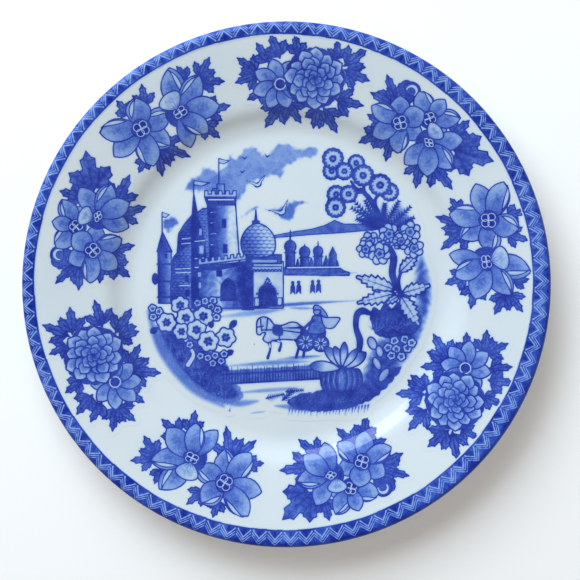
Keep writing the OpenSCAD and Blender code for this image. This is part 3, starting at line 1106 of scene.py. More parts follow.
def drawFar(sheet, f):
    # hills, then the far palace's wall, domes and spires, then banks and paths as washes
    sheet.fill(np.array(f["hills"]), mottled(0.42, 0.60, 1.3), 0.2)
    sheet.fill(np.array(f["wall"]), mottled(0.50, 0.72, 0.8), 0.24)
    for x, y, r, top in f["domes"]:
        sheet.stroke([[x, y], [x, top]], [0.5, 0.18])
        sheet.fill(box(x - 0.78 * r, 3.5, x + 0.78 * r, y), rounded(x - r, x + r, 0.88, 0.42), 0.2)
        sheet.fill(oval((x, y), 2 * r, 2.1 * r), rounded(x - r, x + r, 0.90, 0.46), 0.24)
        sheet.stroke([[x - r, y - 1.1 * r], [x + r, y - 1.1 * r]], 0.26)
    for x, y, half in f["spires"]:
        spire = [[x - half, 3.5], [x - half, y - 3.2], [x, y], [x + half, y - 3.2], [x + half, 3.5]]
        sheet.fill(np.array(spire), rounded(x - half, x + half, 0.9, 0.5), 0.18)
    sheet.stroke([[-1, 3.9], [20, 4.2]], 0.24, "pale")
    for path, half, tone in f["banks"]:
        sheet.stroke(smoothPath(path, 5), [0.4 * half, half, half, 0.3 * half], "wash", tone)
    # four walkers in cloaks
    cloak = [[-0.9, 0], [-0.75, 3], [-0.3, 3.9], [0.4, 3.9], [0.8, 3], [0.9, 0], [0, 1.2]]
    for x, y in f["walkers"]:
        sheet.fill(np.array(cloak) + [x, y], 0.82, 0.16)
        sheet.fill(oval((x, y + 4.6), 1.2, 1.3), 0.84, 0.14)


# slits and panes are a middle, a width and a height
castle = {
    "ground": -12.5,
    "slits": [(-49.9, 8.6, 1.0, 1.7), (-26.4, 21.8, 1.5, 3.4), (-26.0, 11.6, 1.7, 3.6),
              (-28.4, 1.6, 2.2, 2.4), (-41.5, -0.4, 1.4, 2.6), (-41.3, -6.2, 1.6, 2.6)],
    "panes": [(-35.9, 18.4, 1.4, 3.0), (-35.5, 11.2, 2.1, 3.4), (-36.4, 1.2, 1.6, 2.2),
              (-36.2, -3.2, 1.4, 2.6)],
}


def drawTurret(sheet, g):
    # the corner turret with its cone; g is the height of the castle's foot
    drawFlag(sheet, -51.3, 18, 26.3, 3.0)
    sheet.fill(box(-53, g + 2, -47.7, 10.6), rounded(-53, -47.7, 0.85, 0.18), 0.24)
    sheet.fill(np.array([[-53.4, 10.4], [-51.2, 18.4], [-47.4, 10.4]]), rounded(-53, -48, 0.9, 0.4), 0.26)
    for y in (5.4, -1.6, -8):
        sheet.stroke([[-53.4, y], [-47.4, y]], 0.32, "dark")
    sheet.fill(oval((-54.3, -0.6), 2.2, 4.4), 0.75, 0.2)


def drawHalls(sheet, g):
    # domed and tiled halls
    tall = [(-45, g), (-45, 14), (-43.6, 19.4), (-40, 24.2), (-38, 25.6), (-32, 25.0), (-31.5, g)]
    low = [(-47.4, g), (-47.4, 5), (-45.6, 9.6), (-42, 12.2), (-38, 12.4), (-38, g)]
    courses = [(15.6, -43.4, -39.2), (13.6, -43.6, -39.2), (3.4, -46, -39.4), (1.8, -46, -39.4),
               (-3.4, -44.5, -39.5)]
    sheet.fill(smoothPath(tall, 4, True), tiled(-45, -32, 0.92, 0.42), 0.26)
    sheet.fill(smoothPath(low, 4, True), tiled(-47.4, -38, 0.88, 0.30), 0.26)
    for y, x0, x1 in courses:
        sheet.stroke([[x0, y], [x1, y + 0.3]], [0.2, 0.34, 0.2], "pale")


def drawSpire(sheet, g):
    # the tall spire between the halls
    drawFlag(sheet, -38.5, 32, 39, 6.5)
    sheet.fill(np.array([[-39.6, g], [-39.4, 22], [-38.5, 33.6], [-36.6, 23], [-34.0, 14], [-33.8, g]]),
               rounded(-39.6, -33.8, 0.97, 0.66), 0.26)
    for y in (14.6, 7.6, 4.0):
        sheet.stroke([[-38.2, y], [-34.2, y + 0.3]], [0.2, 0.3, 0.2], "pale")


def drawKeep(sheet, g):
    # the round keep, dark on its left side
    drawFlag(sheet, -28.4, 36, 47.8, 4.2)
    sheet.fill(box(-30.9, 33, -29.1, 35.8), 0.2, 0.26)
    sheet.fill(box(-29.2, 33, -26.2, 37.6), rounded(-29.2, -26.2, 0.5, 0.1), 0.28)
    sheet.fill(np.array([[-33.1, 31], [-31.3, g], [-19.8, g], [-20.4, 9], [-21.8, 30.4]]),
               rounded(-32.4, -24.2, 0.96, 0.04), 0.28)
    sheet.fill(np.array([[-33.1, 29.2], [-34.2, 32.6], [-21.4, 32.6], [-21.9, 29.2]]),
               rounded(-33, -21, 0.95, 0.62), 0.24)
    sheet.stroke([[-32.6, 31.3], [-22.6, 31.3]], 0.26, "pale")
    drawBattlement(sheet, -34.2, -21.4, 32.4, 2.6, 5, 0, 0.10)
    for y in (26.2, 22, 17.5, 13.2):
        sheet.stroke([[-31.8, y], [-29.4, y + 0.2]], [0.2, 0.42, 0.1], "pale")


def drawCurtainWall(sheet, g):
    # the curtain wall with its gate
    def weathered(x, y, depth):
        # palest under the keep
        wash = 0.12 + 0.075 * np.abs(x + 28.5)
        return np.clip(wash + 0.3 * (ripple(x, y, 0.9) - 0.5), 0.06, 0.95)

    sheet.fill(np.array([[-37.2, g], [-36.4, 4.2], [-18, 6.4], [-16.0, g]]), weathered, 0.24)
    sheet.fill(box(-19.2, g - 0.6, -14.6, 6.2), rounded(-19.2, -14.6, 0.92, 0.80), 0.24)
    drawBattlement(sheet, -36.8, -17.4, 5.0, 2.6, 8, 0.12, 0.08)
    sheet.stroke(smoothPath([(-36, 4.0), (-30, 3.6), (-24, 4.8), (-18, 6.0)], 5), [0.6, 0.9, 0.9, 0.6])
    drawArch(sheet, -24.8, -9.4, 6.0, 9.2)
    for x in (-26.6, -24.8, -23.0):
        sheet.stroke([[x, -9], [x, -2.4]], [0.10, 0.2, 0.05], "wash", 0.62)
    sheet.stroke([[-37, -8.4], [-15, -7.4]], 0.28)


def drawOnionHall(sheet, g):
    # the onion dome on its hall, with an arcade and a doorway
    def domeTiles(x, y, depth):
        # paler to the right and upwards
        wash = 0.90 - 0.05 * (x + 19) - 0.022 * (y - 8)
        return np.clip(wash + 0.62 * (scales(x, y, 2.3) - 0.4), 0.06, 0.95)

    sheet.stroke([[-13.6, 20], [-13.6, 27.4]], [0.95, 0.22])
    sheet.fill(box(-15.0, 20.2, -12.2, 22.8), 0.8, 0.2)
    sheet.fill(box(-14.8, g, -2.6, 6.4), mottled(0.03, 0.12), 0.26)
    sheet.fill(box(-17.6, 5.6, -3.4, 9.2), rounded(-17.6, -3.4, 0.9, 0.55), 0.24)
    dome = [(-17.4, 8.8), (-19.6, 14.0), (-17.6, 19.2), (-13, 21.8), (-8.2, 19.4), (-5.8, 14.4),
            (-7.6, 8.8)]
    sheet.fill(smoothPath(dome, 5, True), domeTiles, 0.30)
    sheet.fill(box(-15.2, 5.9, -5.0, 7.3), 0.16, 0.16)
    sheet.fill(box(-15.2, 2.4, -3.2, 4.4), 0.16, 0.16)
    for k in range(8):
        sheet.stroke(arc(-14.3 + 1.45 * k, 2.6, 0.62, 180, 0, 6), 0.24)
    drawArch(sheet, -9.0, g + 0.8, 7.2, 9.8)
    for k in range(15):
        # dots that follow the arch: a pointed line a little wider than it
        q = k / 7 - 1
        spot = (-9.0 + 4.3 * q ** 3 * 0.35 + 4.3 * q * 0.62, -0.3 - 6.2 * abs(q) ** 1.25)
        sheet.fill(oval(spot, 0.85, 0.85, 8), 0.9, 0)
    for x in (-14.2, -5.0):
        sheet.fill(box(x, g + 0.8, x + 1.9, g + 4.2), 0.05, 0.22)
    sheet.stroke([[-15.4, g + 0.4], [-2.4, g + 1.2]], 0.34)


def drawCastle(sheet, c):
    # from back to front; the openings are dark slits and pale panes
    for drawPart in (drawTurret, drawHalls, drawSpire, drawKeep, drawCurtainWall, drawOnionHall):
        drawPart(sheet, c["ground"])
    for openings, tone in ((c["slits"], 0.95), (c["panes"], 0.10)):
        for x, y, wide, high in openings:
            sheet.fill(box(x - wide / 2, y - high / 2, x + wide / 2, y + high / 2), tone, 0.14)


# a leg is a path and half its width along it; a wheel is its middle and radius
cart = {
    "horse": [(-13.3, -18.2), (-12.4, -16.6), (-10.4, -16.0), (-8.0, -17.0), (-6.2, -19.2), (-3.0, -19.4),
              (0.4, -18.2), (3.2, -18.6), (4.6, -21.0), (4.2, -24.2), (1.6, -25.4), (-2.4, -25.2),
              (-6.4, -25.6), (-8.8, -26.6), (-10.8, -25.2), (-9.8, -22.6), (-11.2, -22.6), (-12.0, -23.4),
              (-13.3, -22.8), (-13.4, -20.4)],
    "legs": [([(-8.4, -26), (-7.9, -29), (-8.9, -32.8)], (0.9, 0.42, 0.62)),
             ([(-6, -25.4), (-3.6, -26.6), (-4.2, -29.8)], (0.8, 0.4, 0.6)),
             ([(2.4, -24.6), (3.6, -28.0), (2.6, -32.6)], (1.2, 0.45, 0.6)),
             ([(4.0, -23.6), (5.8, -27.6), (5.6, -32.2)], (1.1, 0.42, 0.6))],
    "harness": [[(-9.0, -17.0), (-9.4, -21.6)], [(-11.8, -17.0), (-11.4, -21.8)],
                [(-11.4, -21.4), (-4.4, -21.4), (5, -22.6)], [(-4.4, -19.4), (-4.2, -25.2)],
                [(-13.0, -20.2), (-10.6, -19.8)]],
    "wheels": [(6.4, -26.4, 3.6), (12.6, -27.0, 3.2)],
    "coat": [(9.4, -15.8), (8.6, -18.6), (7.6, -22.6), (13.8, -22.6), (13.8, -18.4), (12.2, -15.6)],
    "scarf": [(12.8, -16), (15.6, -16.2), (20.2, -16.4), (19.4, -18.4), (17.4, -20.6), (14.2, -20.2)],
    "hood": [(9.6, -13.2), (10.0, -11.4), (12.0, -11.6), (14.8, -14.6), (15.0, -16.4), (12.6, -15.2),
             (12.4, -13.2)],
}


def drawCart(sheet, c):
    # legs and tail behind the horse, then its harness, the cart, the driver and the wheels
    for path, half in c["legs"]:
        sheet.stroke(smoothPath(path, 5), half)
        sheet.stroke(smoothPath(path, 5)[:5], 0.3 * half[0], "pale")
    sheet.stroke(smoothPath([(4.2, -19.6), (6.2, -21.6), (6.2, -25.2)], 5), [0.4, 0.7, 0.1])
    sheet.fill(smoothPath(c["horse"], 4, True), mottled(0.04, 0.16, 1.2), 0.30)
    sheet.fill(smoothPath([(-6.4, -19.4), (-3.4, -19.8), (-3.0, -23.4), (-6.6, -23.0)], 3, True),
               0.82, 0.16)
    for path in c["harness"]:
        sheet.stroke(smoothPath(path, 4), 0.26)
    sheet.fill(np.array([[4.6, -19.8], [6.2, -22.4], [14.6, -22.0], [14.0, -25.4], [6.4, -25.8]]),
               mottled(0.45, 0.75), 0.26)
    # the driver: a seated figure in a wide coat, with a scarf that streams behind
    sheet.fill(smoothPath(c["coat"], 4, True), mottled(0.35, 0.62, 0.8), 0.28)
    sheet.fill(smoothPath(c["scarf"], 3, True), 0.14, 0.28)
    sheet.stroke([(9.2, -17.6), (6.0, -20.4), (-3, -20.6)], [0.7, 0.5, 0.14])
    sheet.fill(oval((11.0, -13.8), 2.7, 3.0), 0.22, 0.26)
    sheet.fill(smoothPath(c["hood"], 3, True), 0.30, 0.28)
    for x, y, r in c["wheels"]:
        sheet.fill(oval((x, y), 2 * r), 0.56, 0.30)
        sheet.stroke(oval((x, y), 1.55 * r), 0.18)
        for k in range(4):
            a = math.radians(20 + 45 * k)
            spoke = 0.75 * r * np.array([math.cos(a), math.sin(a)])
            sheet.stroke([(x - spoke[0], y - spoke[1]), (x + spoke[0], y + spoke[1])], 0.2, "pale")
        sheet.fill(oval((x, y), 0.5 * r), 0.92, 0)


# a daisy is its middle and radius; a sprig is its root, angle, length and width
meadow = {
    "left": [(-54.5, -22), (-52, -28), (-47.5, -36), (-42, -42.5), (-36, -47.5), (-29, -51.5),
             (-22, -51.5), (-18.5, -48), (-21, -43.5), (-24, -38), (-26, -34), (-32, -28), (-38, -24),
             (-46, -19), (-52, -17)],
    "shade": [([(-57, -14), (-53.5, -26), (-46.5, -37.5), (-37, -47), (-27, -52.5)], 2.6, 0.42),
              ([(-27, -51), (-20, -51.5), (-13, -50.5)], 1.8, 0.34),
              ([(-16, -55.5), (-10, -54.8)], 0.5, 0.26), ([(-6, -52.5), (0, -53), (8, -54.5)], 1.2, 0.34),
              ([(-20, -47), (-8, -46), (3, -45.2)], 1.1, 0.28)],
    "daisies": [(-44.2, -11.3, 3.9), (-49.8, -18.3, 4.1), (-42.0, -16.4, 4.1), (-34.9, -15.8, 4.2),
                (-43.8, -22.0, 3.6), (-37.7, -21.3, 4.2), (-25.9, -24.4, 4.2), (-33.0, -26.0, 4.4)],
    "stars": [(-37.2, -10.4), (-34.2, -9.6), (-31.0, -9.4), (-31.8, -12.0), (-29.2, -13.2),
              (-29.6, -16.2), (-55.2, -16.0), (-55.4, -12.6), (-52.8, -13.8), (-36.2, -32.0),
              (-33.2, -32.8), (-30.2, -31.8), (-31.2, -35.0), (-27.8, -34.0), (-26.6, -31.2),
              (-40.5, -27.4)],
    "sprigs": [(-24.4, -20.6, 48, 4.2, 2.4), (-31.6, -20.6, 100, 3.0, 2.4), (-26.0, -31.6, 30, 3.6, 2.2),
               (-27.4, -36.0, -40, 3.4, 2.0), (-53.4, -20.4, 215, 3.6, 2.4),
               (-30.8, -37.2, -70, 3.2, 2.2)],
    "twig": [(-42.5, -24.4), (-40.8, -27.8), (-39.0, -31.6), (-41.2, -35.6)],
    "fence": {"from": (-27.5, -43.6), "to": (12.5, -41.4), "high": 6.4, "pickets": 34},
}


def drawMeadow(sheet, m):
    # washes and the dark bank, then the fence, and flowers over both
    for path, half, tone in m["shade"]:
        sheet.stroke(smoothPath(path, 5), [0.5 * half, half, half, 0.5 * half], "wash", tone)
    dense = mottled(0.62, 0.92, 0.9)

    def ground(x, y, depth):
        # thinner towards its edge
        return dense(x, y, depth) * np.clip(depth / 2.4, 0.55, 1)

    sheet.fill(smoothPath(m["left"], 3, True), ground, 0, wobble=0.8)
    for k in range(60):
        # short blades that lighten the dark ground
        x = -50 + 0.44 * k + 1.2 * math.sin(2.4 * k)
        y = -25 - 0.42 * k - 2.4 + 3.6 * math.sin(3.9 * k)
        sheet.stroke([(x, y), (x + 0.9 * math.sin(1.7 * k), y + 2.0)], [0.34, 0.1], "wash", 0.42)
    f = m["fence"]
    start, end = np.array(f["from"]), np.array(f["to"])
    up = np.array([0, f["high"]])
    sheet.fill(np.vstack((start, end, end + 0.92 * up, start + 0.86 * up)), mottled(0.38, 0.62, 0.7), 0)
    for k in range(f["pickets"]):
        foot = start + (end - start) * (k + 0.5) / f["pickets"]
        tall = 1 + 0.10 * math.sin(2.7 * k)
        sheet.stroke([foot, foot + tall * up + [0.2 * math.sin(1.9 * k), 0]], [0.36, 0.40, 0.14])
    for share in (0.02, 0.62):
        sheet.stroke([start + share * up, end + share * up], 0.34)
    sheet.stroke(smoothPath(m["twig"], 4), [1.1, 0.9, 1.2])
    sheet.stroke(smoothPath(m["twig"], 4), [0.75, 0.55, 0.85], "pale")
    for x, y, angle, long, wide in m["sprigs"]:
        sheet.fill(petalShape((x, y), angle, long, wide), 0.88, 0.16)
    for k, (x, y) in enumerate(m["stars"]):
        drawDaisy(sheet, (x, y), 1.75, 5, 40 * k)
    for k, (x, y, r) in enumerate(m["daisies"]):
        drawDaisy(sheet, (x, y), r, 6, 23 * k)


# a bloom is its middle and radius, and a puff has its number of petals too; a feather is its root, angle
# and length; a leaf or a blade is its root, tip and width, and a leaf has its number of teeth too
grove = {
    "trunk": [(28.4, 35.4), (31.6, 32.2), (34.6, 27.4), (36.4, 21.5), (38.8, 14.0), (41.8, 8.0),
              (41.4, 1.0), (45.0, -7.2)],
    "twigs": [[(24.6, 38.6), (26.4, 36.0), (29.4, 34.4)], [(29.4, 38.0), (30.0, 34.6), (31.8, 31.6)],
              [(36.0, 33.4), (34.4, 31.6), (34.4, 28)], [(23.8, 33.4), (28.4, 34.4)],
              [(45.0, -7.0), (44.0, -1.0), (45.6, 4.0)]],
    "blooms": [(16.8, 42.8, 3.6), (17.3, 47.7, 4.3), (26.6, 46.0, 3.4), (21.9, 42.7, 3.5),
               (29.4, 41.0, 4.4), (40.0, 34.4, 3.7), (36.2, 37.2, 4.5), (18.6, 33.4, 3.7),
               (23.6, 33.6, 3.5), (18.4, 28.2, 4.1)],
    "feathers": [(35.6, 20.0, 132, 15.0), (35.8, 20.6, 118, 12.0), (36.0, 21.0, 148, 13.5),
                 (37.0, 21.0, 82, 9.0), (38.0, 20.0, 62, 12.5), (38.6, 19.0, 44, 14.0),
                 (39.5, 18.6, 28, 12.0), (36.0, 20.0, 158, 10.0)],
    "puffs": [(40.0, 17.6, 4.2, 7), (48.4, 18.4, 4.2, 6), (32.4, 14.6, 3.8, 6), (50.0, 11.8, 3.9, 6),
              (30.6, 11.4, 3.6, 6), (36.2, 9.6, 4.4, 7), (44.8, 14.6, 3.4, 6)],
    "seeds": [(39.4, 14.8), (41.0, 13.4), (37.6, 14.2), (42.6, 15.8), (36.0, 15.2), (43.0, 12.2)],
    "leaves": [((44.2, 2.0), (51.6, 9.4), 5.4, 5), ((42.6, -5.0), (26.8, 0.4), 6.6, 6),
               ((42.8, -6.4), (27.2, -10.4), 6.0, 6), ((45.2, -6.4), (56.6, -3.2), 6.2, 5),
               ((44.2, -7.4), (39.0, -10.6), 3.4, 3), ((44.8, -7.4), (52.4, -19.6), 7.2, 6)],
    "thicket": [(33.6, -11.6), (32.4, -16.2), (33.6, -20.6), (36.4, -24.2), (44, -24.6), (51, -22.6),
                (53.5, -16.4), (50, -14), (44.4, -9.6), (41.2, -12.6), (38.4, -9.8), (36.6, -13.2)],
    "post": [(32.4, -14.6), (29.4, -13.6), (27.2, -15.2), (26.8, -20.4), (28.4, -25.6), (28.0, -30.4)],
    "pads": [(33.4, -26.8, 3.4, 5.4, 24), (36.4, -30.2, 2.8, 4.8, 14), (35.4, -35.2, 2.8, 5.6, 26),
             (38.2, -39.8, 3.2, 6.4, -34)],
    "florets": [(39.8, -28.6), (42.4, -25.8), (43.2, -29.2), (46.6, -25.2), (47.6, -28.8), (45.2, -32.2),
                (49.4, -26.6), (41.2, -31.8)],
    "gourd": (21.0, -41.8, 17.0, 10.6),
    "blades": [((20.6, -37.2), (8.2, -35.4), 4.6), ((20.8, -37.0), (14.8, -27.8), 3.8),
               ((21.6, -37.0), (31.2, -31.2), 4.6), ((20.8, -36.8), (18.8, -28.0), 3.2),
               ((21.2, -36.8), (22.8, -26.4), 3.0), ((21.6, -36.8), (27.8, -29.6), 3.0)],
    "bank": [(30, -36), (31.5, -31), (35.5, -24.5), (43, -23), (48.5, -18), (50.5, -10), (49.5, -2),
             (50, 6), (53, 9.5), (56, 5), (57.8, -4), (57.4, -12), (55, -21), (51, -29.5), (45, -37.5),
             (38, -45), (30, -51.5), (20, -54.5), (26, -46)],
    "fan": [(37, 19), (40, 25), (41.5, 30.5), (45, 30), (48.5, 25.5), (50, 21), (47, 18.5)],
    "ferns": [((-9.6, -49.4), (-2.4, -47.6)), ((-1.6, -46.6), (5.6, -46.0)), ((-3, -50.2), (1.4, -46.2))],
    "mound": [(-1.5, -50.5), (3.5, -47.2), (9, -46.6), (13, -45.4), (20, -46.4), (28, -44.4), (33.5, -39),
              (38.5, -37.5), (44, -36), (45, -38.5), (39, -45.5), (32, -51), (22, -54.4), (10, -55),
              (1, -53.6)],
}


def drawUndergrowth(sheet, g):
    # a dark bank behind the tree and the mound in front of it, with grass along their edges
    def soft(x, y, depth):
        # a dark ground that fades out towards its edge
        return (0.42 + 0.40 * ripple(x, y, 1.1)) * np.clip(depth / 2.6, 0.12, 1)

    sheet.fill(smoothPath(g["bank"], 3, True), soft, 0, wobble=0.8)
    sheet.fill(smoothPath(g["fan"], 3, True), lambda x, y, d: soft(x, y, d) * 0.8, 0, wobble=0.8)
    sheet.fill(smoothPath(g["mound"], 3, True), mottled(0.60, 0.88, 1.6), 0, wobble=0.7)
    for k in range(26):
        # grass along the mound's lower edge, and pale blades on it
        x = 1.28 * k
        foot = -54.6 + 0.0050 * max(0, x - 16) ** 2
        sheet.stroke([(x, foot + 1.2), (x - 0.5, foot - 1.7 - 0.6 * math.sin(2.9 * k))], [0.5, 0.1],
                     "wash", 0.72)
        sheet.stroke([(x, foot + 3.4), (x + 1.4, foot + 5.0 + math.sin(1.7 * k))], [0.1, 0.32, 0.1],
                     "wash", 0.34)
    sheet.fill(smoothPath(g["thicket"], 3, True), mottled(0.72, 0.95, 0.8), 0.2, wobble=0.5)
    for x, y in ((35.4, -22), (39.6, -22), (43.6, -21.4), (47.6, -19.6)):
        drawSpikes(sheet, (x, y), [(90 + 28 * k, 6.4 - abs(k)) for k in (-2, -1, 0, 1, 2)], 0.34,
                   "wash", 0.45)


def drawPost(sheet, g):
    # a dark post with broken arms, pale pads along its foot and small daisies beside it
    post = smoothPath(g["post"], 4)
    sheet.stroke(post, [0.9, 1.5, 1.3, 1.1, 1.4, 1.1])
    sheet.stroke(post, [0.5, 0.9, 0.7, 0.6, 0.9, 0.6], "wash", 0.40)
    fork = (32.2, -14.6)
    for angle, long in ((25, 3.6), (-20, 3.4), (0, 3.8)):
        sheet.stroke([fork, placed([[long, 0]], fork, angle)[0]], [0.6, 0.3])
    for x, y, wide, high, angle in g["pads"]:
        sheet.fill(oval((x, y), wide, high, angle=angle), mottled(0.10, 0.30), 0.30)
    for k, spot in enumerate(g["florets"]):
        drawDaisy(sheet, spot, 2.0, 5, 31 * k)


def drawGourd(sheet, g):
    # ribs from the sides in to the middle, under leaves that pale towards their tips
    def ribShade(px, py, depth):
        swell = 0.80 - 0.42 * np.clip(depth / 1.7, 0, 1) ** 1.5
        return np.clip(swell + 0.16 * (ripple(px, py, 0.8) - 0.5), 0, 1)

    x, y, wide, high = g["gourd"]
    for share in (-1.0, 1.0, -0.72, 0.72, -0.38, 0.38, 0):
        middle = x + 0.36 * wide * share
        sheet.fill(oval((middle, y), 0.28 * wide, high * (1 - 0.12 * abs(share))), ribShade, 0.28)
        glint = [(middle - 0.7, y + 0.34 * high), (x + 0.38 * wide * share - 1.0, y - 0.30 * high)]
        sheet.stroke(glint, [0.08, 0.36, 0.08], "pale")
    for base, tip, wide in g["blades"]:
        span = math.dist(base, tip)
        angle = angleTo(base, tip)

        def shade(px, py, depth, tip=tip, span=span):
            return np.clip(0.82 - 1.5 * np.hypot(px - tip[0], py - tip[1]) / span, 0.08, 0.8)
        sheet.fill(petalShape(base, angle, span, wide, 0.6, 0.75), shade, 0.30)


def drawTree(sheet, g):
    # fronds behind a bent trunk, with round blooms above, toothed leaves below and full blooms between
    for x, y, angle, long in g["feathers"]:
        end = placed([[long, 0]], (x, y), angle)[0]
        drawFrond(sheet, (x, y), end, 3.0, 10, 0.44)
    trunk = smoothPath(g["trunk"], 5)
    for twig in g["twigs"]:
        sheet.stroke(smoothPath(twig, 4), [0.5, 0.7])
    sheet.stroke(trunk, [0.8, 1.0, 1.2, 1.3, 1.3, 1.5, 1.4, 1.0])
    sheet.stroke(trunk + [0.35, 0], [0.1, 0.3, 0.4, 0.4, 0.4, 0.3, 0.1], "wash", 0.5)
    for k, (x, y, r) in enumerate(g["blooms"]):
        drawRoundBloom(sheet, (x, y), r, 17 * k)
    for base, tip, wide, teeth in g["leaves"]:
        drawToothedLeaf(sheet, base, tip, wide, teeth)
    for k, (x, y, r, petals) in enumerate(g["puffs"]):
        drawPuff(sheet, (x, y), r, petals, 29 * k)
    for spot in g["seeds"]:
        sheet.fill(oval(spot, 1.7, 1.4, 10), 0.12, 0.24)


def drawGrove(sheet, g):
    # from back to front, with ferns to its left
    for drawPart in (drawUndergrowth, drawPost, drawGourd, drawTree):
        drawPart(sheet, g)
    for start, end in g["ferns"]:
        drawFrond(sheet, start, end, 2.2, 8)


view = {
    "size": 120,               # width of the sheet that it is drawn on
    "step": 0.35,
    "aside": 1.3,              # how far off the axis it was laid
    "up": 3.7,
    "filmRadius": 52,          # one unbroken film reaches this far
    "bleed": (0.30, 0.20),     # how strongly its ink crept, near and wide
}


def drawView():
    # from back to front
    sheet = InkSheet(view["size"], view["size"], view["step"])
    drawSky(sheet, sky)
    drawFar(sheet, far)
    drawCastle(sheet, castle)
    drawMeadow(sheet, meadow)
    drawCart(sheet, cart)
    drawGrove(sheet, grove)
    sheet.flow(*view["bleed"])
    x, y = np.meshgrid(sheet.x, sheet.y)
    sheet.reach[np.hypot(x, y) < view["filmRadius"]] = 0
    return sheet


layPrint("viewPrint", drawView(), 0, (view["aside"], view["up"]), viewInk, "view_print", lifts["view"])
print("view laid")

# the patterned band at the lip
band = {
    "repeats": 99,
    "inner": 99,               # radius of its inner edge
    "aside": -1.1,             # how far off the axis it was laid
    "up": 1.2,
    "rows": 30,                # rows of points from the inner edge to the lip
    "perRepeat": 34,           # points round each motif
    "margin": 3.4,             # how far inside its inner edge the rows start
    "end": -6,                 # where it stops on the lip, degrees
    "pitch": 6.3,              # width of a motif
    # pale zigzags: height on the motif's middle, run for each unit down, half width, reach, unevenness
    "zigzags": [(3.9, 0.86, 0.30, 2.5, 0.10), (5.0, 0.95, 0.21, 3.15, 0.08), (6.1, 0.95, 0.21, 3.15, 0.08)],
    "beads": [(2.5, 0.95, 0.32, 0.8), (3.15, 0.75, 0.20, 1.0)],   # aside, height, radius and squash
    "drop": (2.0, 0.55, 0.7),  # the dark drop's height, its half width and where its tail ends
    "lipLine": 6.95,           # height of the dark line on the lip
    "fade": 0.45,              # how far its soft inner edge reaches
    "tone": 0.82,
}


def bandInkFields(b, u, v, turn):
    # u counts repeats round the plate and v is the distance from the inner edge, in millimetres;
    # s runs across one motif and arm is how far from its middle a point lies
    k = np.floor(u)
    s = (u - k - 0.5 + 0.03 * np.sin(12.9 * k))[None] * b["pitch"]
    v = v + 0.10 * np.sin(7.7 * k)
    arm = np.abs(s)
    uneven = ripple(s + b["pitch"] * k, v, 0.8)
    ragged = ripple(s + b["pitch"] * k, 4 * s, 0.35)
    cloud = ripple(18 * np.cos(turn), 18 * np.sin(turn), 5.0)[None]
    pale = np.full(v.shape, -np.inf)
    for top, run, half, reach, rough in b["zigzags"]:
        # half width less the distance to a line that falls from the motif's middle
        depth = half - np.abs(v - (top - arm / run)) / math.hypot(1, 1 / run)
        pale = np.maximum(pale, np.minimum(depth, reach - arm) - rough * uneven)
    for aside, high, radius, squash in b["beads"]:
        pale = np.maximum(pale, radius - np.hypot(aside - arm, squash * (v - high)))
    high, half, tail = b["drop"]
    drop = np.maximum(half - np.hypot(s, v - high),
                      np.minimum(half - arm, np.minimum(high - v, v - tail)))
    pale = np.minimum(pale, -drop)
    edgeLine = 0.22 - np.abs(v - 0.12)
    lipEdgeLine = 0.95 - np.abs(v - b["lipLine"] - 0.5 * ragged)
    dark = np.maximum(drop, np.maximum(edgeLine, lipEdgeLine))
    ground = b["tone"] + 0.10 * np.clip(v - 4.5, 0, 1) + 0.16 * (uneven - 0.5) + 0.16 * (cloud - 0.5)
    inside = v > 0
    tone = np.where(inside, ground, 0.30 * np.exp(-np.maximum(-v, 0) / 0.3))
    pale = np.where(inside, np.minimum(pale, v - 0.25), -1)
    dark = np.where(v > -0.3, dark, -1)
    return v, tone, dark, pale


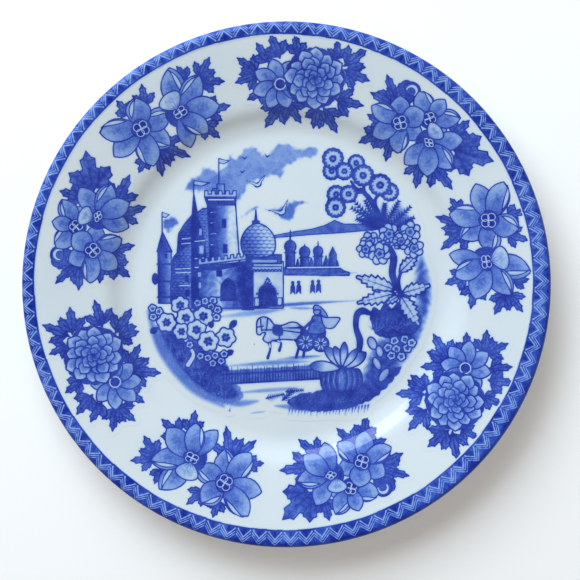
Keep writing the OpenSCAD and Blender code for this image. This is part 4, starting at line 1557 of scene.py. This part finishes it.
def makeBand(b):
    # rows run from inside the inner edge out over the lip, at even steps along the glaze
    turn = np.linspace(0, 2 * math.pi, b["repeats"] * b["perRepeat"], endpoint=False)
    face = np.vstack(([[b["inner"] - b["margin"], 0]], lipLine(glaze, b["end"])))
    face[0, 1] = face[1, 1] - (face[1, 0] - face[0, 0]) * math.tan(slopeB)
    walk = np.concatenate(([0], np.cumsum(np.hypot(*np.diff(face, axis=0).T))))
    along = np.linspace(0, walk[-1], b["rows"])
    r, z = (np.interp(along, walk, c)[:, None] for c in face.T)
    shift = b["aside"] * np.cos(turn) + b["up"] * np.sin(turn)
    v = along[:, None] - (b["inner"] + shift - face[0, 0]) / math.cos(slopeB)
    u = turn / (2 * math.pi) * b["repeats"]
    v, tone, dark, pale = bandInkFields(b, u, v, turn)
    normal = np.gradient(np.hstack((r, z)), axis=0)
    normal /= np.hypot(*normal.T)[:, None]
    rl, zl = r - normal[:, 1:] * lifts["band"], z + normal[:, :1] * lifts["band"]
    warp = warpAt(r * np.cos(turn), r * np.sin(turn))
    points = np.stack((rl * np.cos(turn), rl * np.sin(turn), zl + warp), -1)
    cells = gridFaces(b["rows"], len(turn), False, True).reshape(b["rows"] - 1, len(turn), 4)
    used, faces = np.unique(cells[v[1:] > -b["fade"]][:, ::-1], return_inverse=True)
    piece = makeMesh("lipBandPrint", points.reshape(-1, 3)[used], faces.reshape(-1, 4))
    addInk(piece, used, tone=tone, dark=dark, pale=pale)
    finishPiece(piece, bandInk, "lip_band_print")
    print("band laid,", 2 * len(piece.data.polygons), "triangles")


makeBand(band)

# the printed mark under the foot: a plain wreath round a blossom
mark = {"size": 24, "step": 0.14, "ring": 7.6, "leaves": 14, "long": 3.4, "wide": 1.7}


def drawMark(m):
    # pairs of leaves stand along a ring, with a daisy in the middle
    sheet = InkSheet(m["size"], m["size"], m["step"])
    sheet.stroke(looped(oval((0, 0), 2 * m["ring"], count=40)), 0.22)
    for k in range(m["leaves"]):
        angle = k * 360 / m["leaves"]
        foot = placed([[m["ring"], 0]], (0, 0), angle)[0]
        for side in (-42, 42):
            sheet.fill(petalShape(foot, angle + 90 + side, m["long"], m["wide"]), 0.62, 0.14)
    drawDaisy(sheet, (0, 0), 3.8, 6)
    sheet.flow()
    return sheet


layPrint("backMark", drawMark(mark), 0, (0, 0), sprayInk, "back_mark", lifts["mark"], underFoot)
